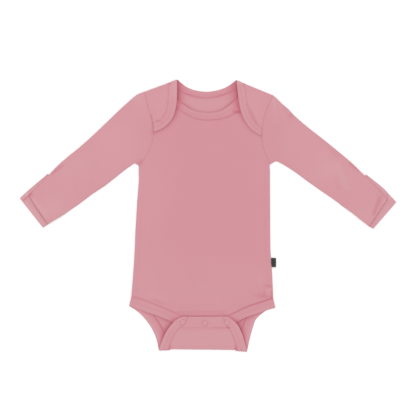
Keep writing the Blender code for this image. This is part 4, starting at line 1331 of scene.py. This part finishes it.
def node_tree(name, kind, inputs, outputs, build):
    """A node tree made once: build adds its nodes and gives what its outputs show."""
    tree = bpy.data.node_groups.get(name)
    if tree is None:
        tree = bpy.data.node_groups.new(name, kind)
        for way, sockets in (("INPUT", inputs), ("OUTPUT", outputs)):
            for label, sort in sockets.items():
                tree.interface.new_socket(label, in_out=way, socket_type=f"NodeSocket{sort}")
        found = build(tree, tree.nodes.new("NodeGroupInput").outputs)
        fill(tree, tree.nodes.new("NodeGroupOutput"), found)
    return tree


def knit_group():
    """Fine plain knit: columns of small slanted loops, on the cloth's grain."""

    def build(tree, given):
        do = partial(maths, tree)
        split = add(tree, "ShaderNodeSeparateXYZ", (given["Grain"],))
        column = do("FRACT", do("DIVIDE", split[0], given["Wale pitch"]))
        row = do("DIVIDE", split[1], given["Course pitch"])
        leg = do("ABSOLUTE", do("SUBTRACT", column, 0.5))
        slant = do("FRACT", do("ADD", row, do("MULTIPLY", leg, LEG_SLANT)))
        loop = do("SINE", do("MULTIPLY", slant, math.pi))
        away = do("ABSOLUTE", do("SUBTRACT", leg, LEG_PLACE))
        body = do("SUBTRACT", 1.0, do("POWER", do("MULTIPLY", away, 1 / LEG_PLACE), 2.0))
        height = do("MULTIPLY", body, scaled(tree, loop, 0.5, 0.5))
        return {"Height": height, "Gap": do("SUBTRACT", 1.0, height)}

    inputs = {"Grain": "Vector", "Wale pitch": "Float", "Course pitch": "Float"}
    outputs = {"Height": "Float", "Gap": "Float"}
    return node_tree("Plain knit", "ShaderNodeTree", inputs, outputs, build)


def tone_group():
    """Jersey colours: paler places and painted highlights, uneven dye, and painted shade in seams,
    creases, knit gaps and beside edges that lie over the cloth.
    """

    def build(tree, given):
        do = partial(maths, tree)
        # Paler places and painted highlights mix in the paler colour
        base = mixed(tree, attribute(tree, "pale_and_lit"), given["Jersey"], given["Pale and lit"])
        broad, fine = (do("SUBTRACT", noise(tree, dye), 0.5) for dye in (DYE_BROAD, DYE_FINE))
        dye = scaled(tree, do("ADD", broad, fine), given["Unevenness"], 1.0)
        dye = add(tree, "ShaderNodeCombineXYZ", (dye, dye, dye))[0]
        base = mixed(tree, 1.0, base, dye, "MULTIPLY")
        heading = add(tree, "ShaderNodeTexCoord")["Normal"]
        up = add(tree, "ShaderNodeSeparateXYZ", (heading,))[2]
        # Painted shade and painted shadows from the shade attribute, kept to faces that look up,
        # and painted shade in the knit's gaps, mix in the shade colour
        above = do("MULTIPLY_ADD", up, *TONE_SIDE, use_clamp=True)
        shade = do("MULTIPLY", attribute(tree, "shade"), above)
        deep = do("ADD", do("MULTIPLY", given["Gap"], GAP_SHADE), shade)
        tint = mixed(tree, deep, base, given["Shade tint"])
        fuzz = noise(tree, FUZZ)
        return {"Color": tint, "Fuzz": fuzz, "Roughness": scaled(tree, fuzz, *FUZZ_ROUGHNESS)}

    inputs = {"Jersey": "Color", "Pale and lit": "Color", "Shade tint": "Color"}
    inputs |= {"Gap": "Float", "Unevenness": "Float"}
    outputs = {"Color": "Color", "Fuzz": "Float", "Roughness": "Float"}
    return node_tree("Cloth tone", "ShaderNodeTree", inputs, outputs, build)


def surface(name, pattern, bump, constants):
    """A finish made once: pattern adds its colour, roughness and height nodes.

    bump is the height's strength and its depth in metres.
    """
    if name in bpy.data.materials:
        return bpy.data.materials[name]
    material = bpy.data.materials.new(name)
    material.use_nodes = True
    tree = material.node_tree
    tint, rough, height = pattern(tree)
    values = {"Base Color": tint, "Roughness": rough, **constants}
    if bump:
        raised = dict(zip(("Strength", "Distance", "Height"), (*bump, height)))
        values["Normal"] = add(tree, "ShaderNodeBump", raised)[0]
    fill(tree, tree.nodes["Principled BSDF"], values)
    return material


def jersey_material(kind):
    """Soft knitted cloth: knit relief, fuzz, uneven dye, painted shade and highlights, and a faint
    sheen.
    """
    paint = colours()
    pair = (paint.pale_and_lit, paint.mitten) if kind == "Mitten" else (paint.jersey, paint.pale_and_lit)

    def pattern(tree):
        pitch = sizes().wale_pitch
        grain = add(tree, "ShaderNodeUVMap", uv_map="Grain")[0]
        values = {"Grain": grain, "Wale pitch": pitch, "Course pitch": pitch * COURSE_SHARE}
        knit = add(tree, "ShaderNodeGroup", values, node_tree=knit_group())
        values = dict(zip(("Jersey", "Pale and lit", "Shade tint"), (*pair, paint.shade_tint)))
        values |= {"Gap": knit["Gap"], "Unevenness": UNEVENNESS}
        tone = add(tree, "ShaderNodeGroup", values, node_tree=tone_group())
        height = maths(tree, "MULTIPLY", tone["Fuzz"], FUZZ_HEIGHT)
        return tone["Color"], tone["Roughness"], maths(tree, "ADD", knit["Height"], height)

    sheen = {"Sheen Weight": 0.16, "Sheen Roughness": 0.45, "Sheen Tint": (1, 0.78, 0.82, 1)}
    constants = {"Specular IOR Level": 0.18, **sheen}
    return surface(f"{kind} jersey", pattern, (0.5, sizes().knit_depth), constants)


def thread_material():
    """Plied polyester thread, a little glossier than the cloth."""

    def pattern(tree):
        strand, paint = noise(tree, STRAND), colours().thread
        return mixed(tree, strand, tinted(paint, 0.8), paint), 0.6, strand

    return surface("Sewing thread", pattern, (0.4, 0.00008), {"Sheen Weight": 0.2})


def enamel_material():
    """Painted metal: smooth, with a faint orange peel."""

    def pattern(tree):
        peel, paint = noise(tree, PEEL), colours().enamel
        return mixed(tree, peel, paint, tinted(paint, 1.06)), scaled(tree, peel, 0.15, 0.45), peel

    return surface("Snap enamel", pattern, (0.15, 0.00005), {"Specular IOR Level": 0.25})


def tape_material():
    """Black woven tape: crossing threads, bare of any mark."""

    def pattern(tree):
        do, paint = partial(maths, tree), colours().tape
        grain = add(tree, "ShaderNodeUVMap", uv_map="Grain")[0]
        split = add(tree, "ShaderNodeSeparateXYZ", (grain,))
        warp, weft = (do("SINE", do("MULTIPLY", split[axis], WEAVE_TURN)) for axis in (0, 1))
        weave = scaled(tree, do("MULTIPLY", warp, weft), 0.5, 0.5)
        return mixed(tree, weave, paint, tinted(paint, 2.6)), scaled(tree, weave, 0.15, 0.6), weave

    return surface("Woven tape", pattern, (0.5, 0.0001), {"Sheen Weight": 0.1})


def floor_material():
    """Plain pale floor, with the faintest clouding."""

    def pattern(tree):
        paint = colours().floor
        return mixed(tree, noise(tree, CLOUD), paint, tinted(paint, 1.01)), 0.9, None

    return surface("Floor", pattern, None, {"Specular IOR Level": 0.1})


def stitch_tree():
    """Geometry nodes: one thread grain at each pitch along sewing lines."""

    def build(tree, given):
        line = add(tree, "GeometryNodeMeshToCurve", {"Mesh": given["Geometry"]})["Curve"]
        values = {"Curve": line, "Length": given["Pitch"]}
        spots = add(tree, "GeometryNodeResampleCurve", values, mode="LENGTH")["Curve"]
        grain = add(tree, "GeometryNodeMeshUVSphere", GRAIN_BALL)["Mesh"]
        named, aimed = "GeometryNodeInputNamedAttribute", "FunctionNodeAlignRotationToVector"
        lie = add(tree, named, {"Name": "lie"}, data_type="FLOAT_VECTOR")["Attribute"]
        upright = add(tree, aimed, {"Vector": lie}, axis="Z")["Rotation"]
        tangent = add(tree, "GeometryNodeInputTangent")["Tangent"]
        values = {"Rotation": upright, "Vector": tangent}
        turned = add(tree, aimed, values, axis="X", pivot_axis="Z")["Rotation"]
        values = {**STITCH_SHARES, "Seed": given["Unevenness seed"]}
        share = add(tree, "FunctionNodeRandomValue", values, data_type="FLOAT")[1]
        long = maths(tree, "MULTIPLY", given["Stitch length"], share)
        flat = maths(tree, "MULTIPLY", given["Thread width"], THREAD_FLATNESS)
        scale = add(tree, "ShaderNodeCombineXYZ", (long, given["Thread width"], flat))[0]
        values = {"Points": spots, "Instance": grain, "Rotation": turned, "Scale": scale}
        placed = add(tree, "GeometryNodeInstanceOnPoints", values)["Instances"]
        whole = add(tree, "GeometryNodeRealizeInstances", {"Geometry": placed})["Geometry"]
        values = {"Geometry": whole, "Material": given["Material"]}
        return {"Geometry": add(tree, "GeometryNodeSetMaterial", values)["Geometry"]}

    inputs = {"Geometry": "Geometry", "Pitch": "Float", "Stitch length": "Float"}
    inputs |= {"Thread width": "Float", "Unevenness seed": "Int", "Material": "Material"}
    outputs = {"Geometry": "Geometry"}
    return node_tree("Stitch row", "GeometryNodeTree", inputs, outputs, build)


def sewn(name, lines, wall, seed):
    """Stitches on a wall, along lines given by middle points in mm and normals."""
    points, edges, lies = [], [], []
    for line, normals in lines:
        first = len(points)
        line = line + normals * (wall / 2 + STITCH_LIFT)
        points.extend(((line - OUTLINE_MIDDLE) * MM).tolist())
        lies.extend(normals.tolist())
        edges.extend((index, index + 1) for index in range(first, len(points) - 1))
    guide = bpy.data.meshes.new(name)
    guide.from_pydata(points, edges, [])
    lie = guide.attributes.new("lie", "FLOAT_VECTOR", "POINT")
    lie.data.foreach_set("vector", np.array(lies, np.float32).ravel())
    carrier = linked(name, guide)
    modifier = carrier.modifiers.new("Stitches", "NODES")
    modifier.node_group = stitch_tree()
    values = {
        "Pitch": sizes().stitch_pitch,
        "Stitch length": sizes().stitch_length,
        "Thread width": sizes().thread_width,
        "Unevenness seed": seed,
        "Material": thread_material(),
    }
    for item in modifier.node_group.interface.items_tree:
        if item.in_out == "INPUT" and item.name in values:
            modifier[item.identifier] = values[item.name]
    graph = bpy.context.evaluated_depsgraph_get()
    mesh = bpy.data.meshes.new_from_object(carrier.evaluated_get(graph))
    carrier.modifiers.remove(modifier)
    carrier.data = mesh
    bpy.data.meshes.remove(guide)
    mesh.name = name
    mesh.shade_smooth()
    if not mesh.polygons:
        raise RuntimeError(f"{name} has no stitches")
    return carrier


def facing_up(normals):
    """Normals turned to the side of the cloth that shows from above."""
    return normals * np.where(normals[..., 2:] < 0, -1.0, 1.0)


def crossed(points, normals, rows, goals):
    """Where each row of a grid reaches its goal: the points and unit normals."""
    spots, lies = (
        np.vstack([at(row, [goal], along) for row, along, goal in zip(values, rows, goals)])
        for values in (points, normals)
    )
    return spots, unit(lies)


def across_lines(grid):
    """Sewing lines that run along a binding, on its outer side."""
    normals = grid.normals()
    middle = normals.shape[1] // 2
    if normals[np.argmax(grid.points[:, middle, 2]), middle, 2] <= 0:
        normals = -normals
    return [
        crossed(grid.points, normals, grid.seam, share * grid.seam[:, -1]) for share in STITCH_ROWS
    ]


def ring_snap(name, spot, drop):
    """A ring cap: a rounded rim round a shallow middle."""
    made = sizes()
    radii = (made.snap_radius, made.snap_hole, made.snap_height)
    outer, hole, high = (value / MM for value in radii)
    middle, rim = (outer + hole) / 2, (outer - hole) / 2
    profile = [(hole * out, high * up) for out, up in SNAP_DISH]
    start, steps, foot, crown = SNAP_RIM
    for angle in np.linspace(np.pi * start, 0.0, steps):
        up = high * (foot + crown * math.sin(angle))
        profile.append((middle + rim * math.cos(angle), up))
    up, inset = SNAP_WALL
    profile += [(outer, high * up), (outer * inset, -drop), (0.0, -drop)]
    base = np.array((*spot, SNAP_BASE)) - OUTLINE_MIDDLE
    solid = bmesh.new()
    grid = []
    for step in range(made.snap_steps):
        angle = 2 * math.pi * step / made.snap_steps
        out = np.array((math.cos(angle), math.sin(angle), 0.0))
        row = [(out * radius + (0.0, 0.0, up) + base) * MM for radius, up in profile]
        grid.append([solid.verts.new(point) for point in row])
    for row, after in zip(grid, grid[1:] + grid[:1]):
        for index in range(len(profile) - 1):
            solid.faces.new((row[index], after[index], after[index + 1], row[index + 1]))
    bmesh.ops.remove_doubles(solid, verts=solid.verts, dist=SNAP_MERGE)
    loose = [face for face in solid.faces if len(face.verts) < 3]
    bmesh.ops.delete(solid, geom=loose, context="FACES")
    bmesh.ops.recalc_face_normals(solid, faces=solid.faces)
    mesh = bpy.data.meshes.new(name)
    solid.to_mesh(mesh)
    solid.free()
    mesh.shade_smooth()
    mesh.set_sharp_from_angle(angle=math.radians(SNAP_CREASE))
    mesh.materials.append(enamel_material())
    return linked(name, mesh)


def place(piece, node, slot):
    """Ties a finished piece to the frame."""
    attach(piece, "root")
    if node:
        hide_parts(node)
    return piece


def make_panel(name, grids, node):
    """A panel or sleeve of plain jersey."""
    piece = place(cloth_object(name, grids, CLOTH, jersey_material("Body")), node, "body_jersey")


def make_band(name, grid, node, seed):
    """A binding with its rows of stitches."""
    piece = place(cloth_object(name, [grid], BAND, jersey_material("Binding")), node, "jersey_band")
    rows = sewn(f"{name}_stitches", across_lines(grid), BAND, seed)
    place(rows, None, "jersey_band")


class OnesieOperator:
    """What every step of the build shares."""

    bl_options = {"REGISTER", "UNDO"}


class ONESIE_OT_stage(OnesieOperator, bpy.types.Operator):
    """Lays the plain floor and sets the soft lights and the camera"""

    bl_idname = "onesie.stage"
    bl_label = "Stage"

    def execute(self, context):
        scene, made = context.scene, sizes()
        ends = (-FLOOR_HALF, FLOOR_HALF)
        mesh = bpy.data.meshes.new("floor")
        mesh.from_pydata([(x, y, FLOOR_LEVEL * MM) for y in ends for x in ends], [], [(0, 1, 3, 2)])
        mesh.materials.append(floor_material())
        linked("floor", mesh)

        for name, spot, size, power in LIGHTS:
            lamp = bpy.data.lights.new(name, "AREA")
            lamp.shape = "DISK"
            lamp.size = size
            lamp.energy = power
            light = linked(name, lamp)
            light.location = spot
            light.rotation_mode = "QUATERNION"
            light.rotation_quaternion = light.location.to_track_quat("Z", "Y")
        world = bpy.data.worlds.new("Studio")
        world.use_nodes = True
        values = {"Color": (1.0, 1.0, 1.0, 1.0), "Strength": WORLD_STRENGTH}
        fill(world.node_tree, world.node_tree.nodes["Background"], values)
        scene.world = world
        scene.view_settings.view_transform = "Standard"

        data = bpy.data.cameras.new("camera")
        data.sensor_width = SENSOR
        data.lens = SENSOR * made.camera_height / made.view_width
        scene.camera = linked("camera", data)
        scene.camera.location = (*VIEW_MIDDLE, made.camera_height)
        return {"FINISHED"}


class ONESIE_OT_back_panel(OnesieOperator, bpy.types.Operator):
    """Makes the back panel with its lap shoulders and crotch tail"""

    bl_idname = "onesie.back_panel"
    bl_label = "Back panel"

    def execute(self, context):
        grids = back_panel_grids()
        for grid, dip in zip(grids[1:], (SEAM_DIP, SEAM_DIP, TAIL_DIP)):
            grid.settle(*dip)
        make_panel("back_panel_jersey", grids, "back_panel")
        return {"FINISHED"}


class ONESIE_OT_front_panel(OnesieOperator, bpy.types.Operator):
    """Makes the front panel"""

    bl_idname = "onesie.front_panel"
    bl_label = "Front panel"

    def execute(self, context):
        grid, under = front_panel_grid(), "back_panel_jersey"
        grid.settle(*SEAM_DIP)
        make_panel("front_panel_jersey", [grid], "front_panel")
        return {"FINISHED"}


class ONESIE_OT_sleeves(OnesieOperator, bpy.types.Operator):
    """Makes both sleeves as flat tubes"""

    bl_idname = "onesie.sleeves"
    bl_label = "Sleeves"

    def execute(self, context):
        for word, side, table in SIDES:
            name, node = f"{word}_sleeve_jersey", f"{word}_sleeve"
            make_panel(name, [sleeve_grid(side, table)], node)
        return {"FINISHED"}


class ONESIE_OT_mittens(OnesieOperator, bpy.types.Operator):
    """Makes the fold-over mittens behind the cuffs, with their wide hems"""

    bl_idname = "onesie.mittens"
    bl_label = "Mittens"

    def execute(self, context):
        for word, side, table in SIDES:
            grid = mitten_grid(side, table)
            name = f"{word}_mitten_jersey"
            piece = cloth_object(name, [grid], CLOTH, jersey_material("Mitten"))
            place(piece, f"{word}_mitten", "body_jersey")
            normals = facing_up(grid.normals())
            from_end = grid.grain[..., 1].mean(axis=1)
            part = HEM_CLEAR["mitten"]
            rows = [int(np.argmin(np.abs(from_end - row))) for row in MITTEN_STITCHES]
            lines = [(grid.points[row, part], normals[row, part]) for row in rows]
            hem = sewn(f"{word}_mitten_hem_stitches", lines, CLOTH, 11 + side)
            place(hem, None, "body_jersey")
        return {"FINISHED"}


class ONESIE_OT_neck_bands(OnesieOperator, bpy.types.Operator):
    """Makes the neck's two bindings and their rows of stitches"""

    bl_idname = "onesie.neck_bands"
    bl_label = "Neck bindings"

    def execute(self, context):
        back, front = back_neck_grid(), front_neck_grid()
        make_band("back_neck_binding", back, "back_neck_band", 3)
        make_band("front_neck_binding", front, "front_neck_band", 5)
        return {"FINISHED"}


class ONESIE_OT_leg_bands(OnesieOperator, bpy.types.Operator):
    """Makes the leg openings' bindings and their rows of stitches"""

    bl_idname = "onesie.leg_bands"
    bl_label = "Leg bindings"

    def execute(self, context):
        for word, side, _ in SIDES:
            name, node = f"{word}_leg_binding", f"{word}_leg_band"
            make_band(name, leg_grid(side), node, 7 + side)
        return {"FINISHED"}


class ONESIE_OT_side_label(OnesieOperator, bpy.types.Operator):
    """Makes the bare loop of tape in the side seam"""

    bl_idname = "onesie.side_label"
    bl_label = "Side tape"

    def execute(self, context):
        piece = cloth_object("side_tape", [tape_grid()], TAPE, tape_material())
        place(piece, "side_label", "label_tape")
        return {"FINISHED"}


class ONESIE_OT_hem_stitches(OnesieOperator, bpy.types.Operator):
    """Sews the crotch tail's hem"""

    bl_idname = "onesie.hem_stitches"
    bl_label = "Tail hem"

    def execute(self, context):
        grid = back_panel_grids()[3]
        part = (slice(FOLD_STEPS, None), HEM_CLEAR["tail"])
        columns, normals = (
            values[part].swapaxes(0, 1) for values in (grid.points, facing_up(grid.normals()))
        )
        ups = columns[..., 1]
        lines = [crossed(columns, normals, ups, [up] * len(ups)) for up in TAIL_STITCHES]
        place(sewn("tail_hem_stitches", lines, CLOTH, 2), None, "body_jersey")
        return {"FINISHED"}


class ONESIE_OT_snaps(OnesieOperator, bpy.types.Operator):
    """Makes the three ring snaps on the crotch tail"""

    bl_idname = "onesie.snaps"
    bl_label = "Snaps"

    def execute(self, context):
        for name, spot, drop in zip(("left", "middle", "right"), SNAPS, SNAP_DROPS):
            place(ring_snap(f"ring_snap_{name}", spot, drop), f"snap_{name}", "snap_cap")
        return {"FINISHED"}


STEPS = (
    ONESIE_OT_stage,
    ONESIE_OT_back_panel,
    ONESIE_OT_front_panel,
    ONESIE_OT_sleeves,
    ONESIE_OT_mittens,
    ONESIE_OT_neck_bands,
    ONESIE_OT_leg_bands,
    ONESIE_OT_side_label,
    ONESIE_OT_hem_stitches,
    ONESIE_OT_snaps,
)


class ONESIE_PT_build(bpy.types.Panel):
    """Lists the steps that build the onesie"""

    bl_idname = "ONESIE_PT_build"
    bl_label = "Baby onesie"
    bl_space_type = "VIEW_3D"
    bl_region_type = "UI"
    bl_category = "Onesie"

    def draw(self, context):
        for group in (context.scene.onesie_sizes, context.scene.onesie_colours):
            for name in group.bl_rna.properties.keys()[2:]:
                self.layout.prop(group, name)
        for step in STEPS:
            self.layout.operator(step.bl_idname)


CLASSES = (OnesieSizes, OnesieColours, *STEPS, ONESIE_PT_build)


def register():
    for item in CLASSES:
        bpy.utils.register_class(item)
    bpy.types.Scene.onesie_sizes = PointerProperty(type=OnesieSizes)
    bpy.types.Scene.onesie_colours = PointerProperty(type=OnesieColours)


def unregister():
    del bpy.types.Scene.onesie_colours
    del bpy.types.Scene.onesie_sizes
    for item in reversed(CLASSES):
        bpy.utils.unregister_class(item)


def main():
    register()
    for step in STEPS:
        group, name = step.bl_idname.split(".")
        getattr(getattr(bpy.ops, group), name)()


if __name__ == "__main__":
    main()
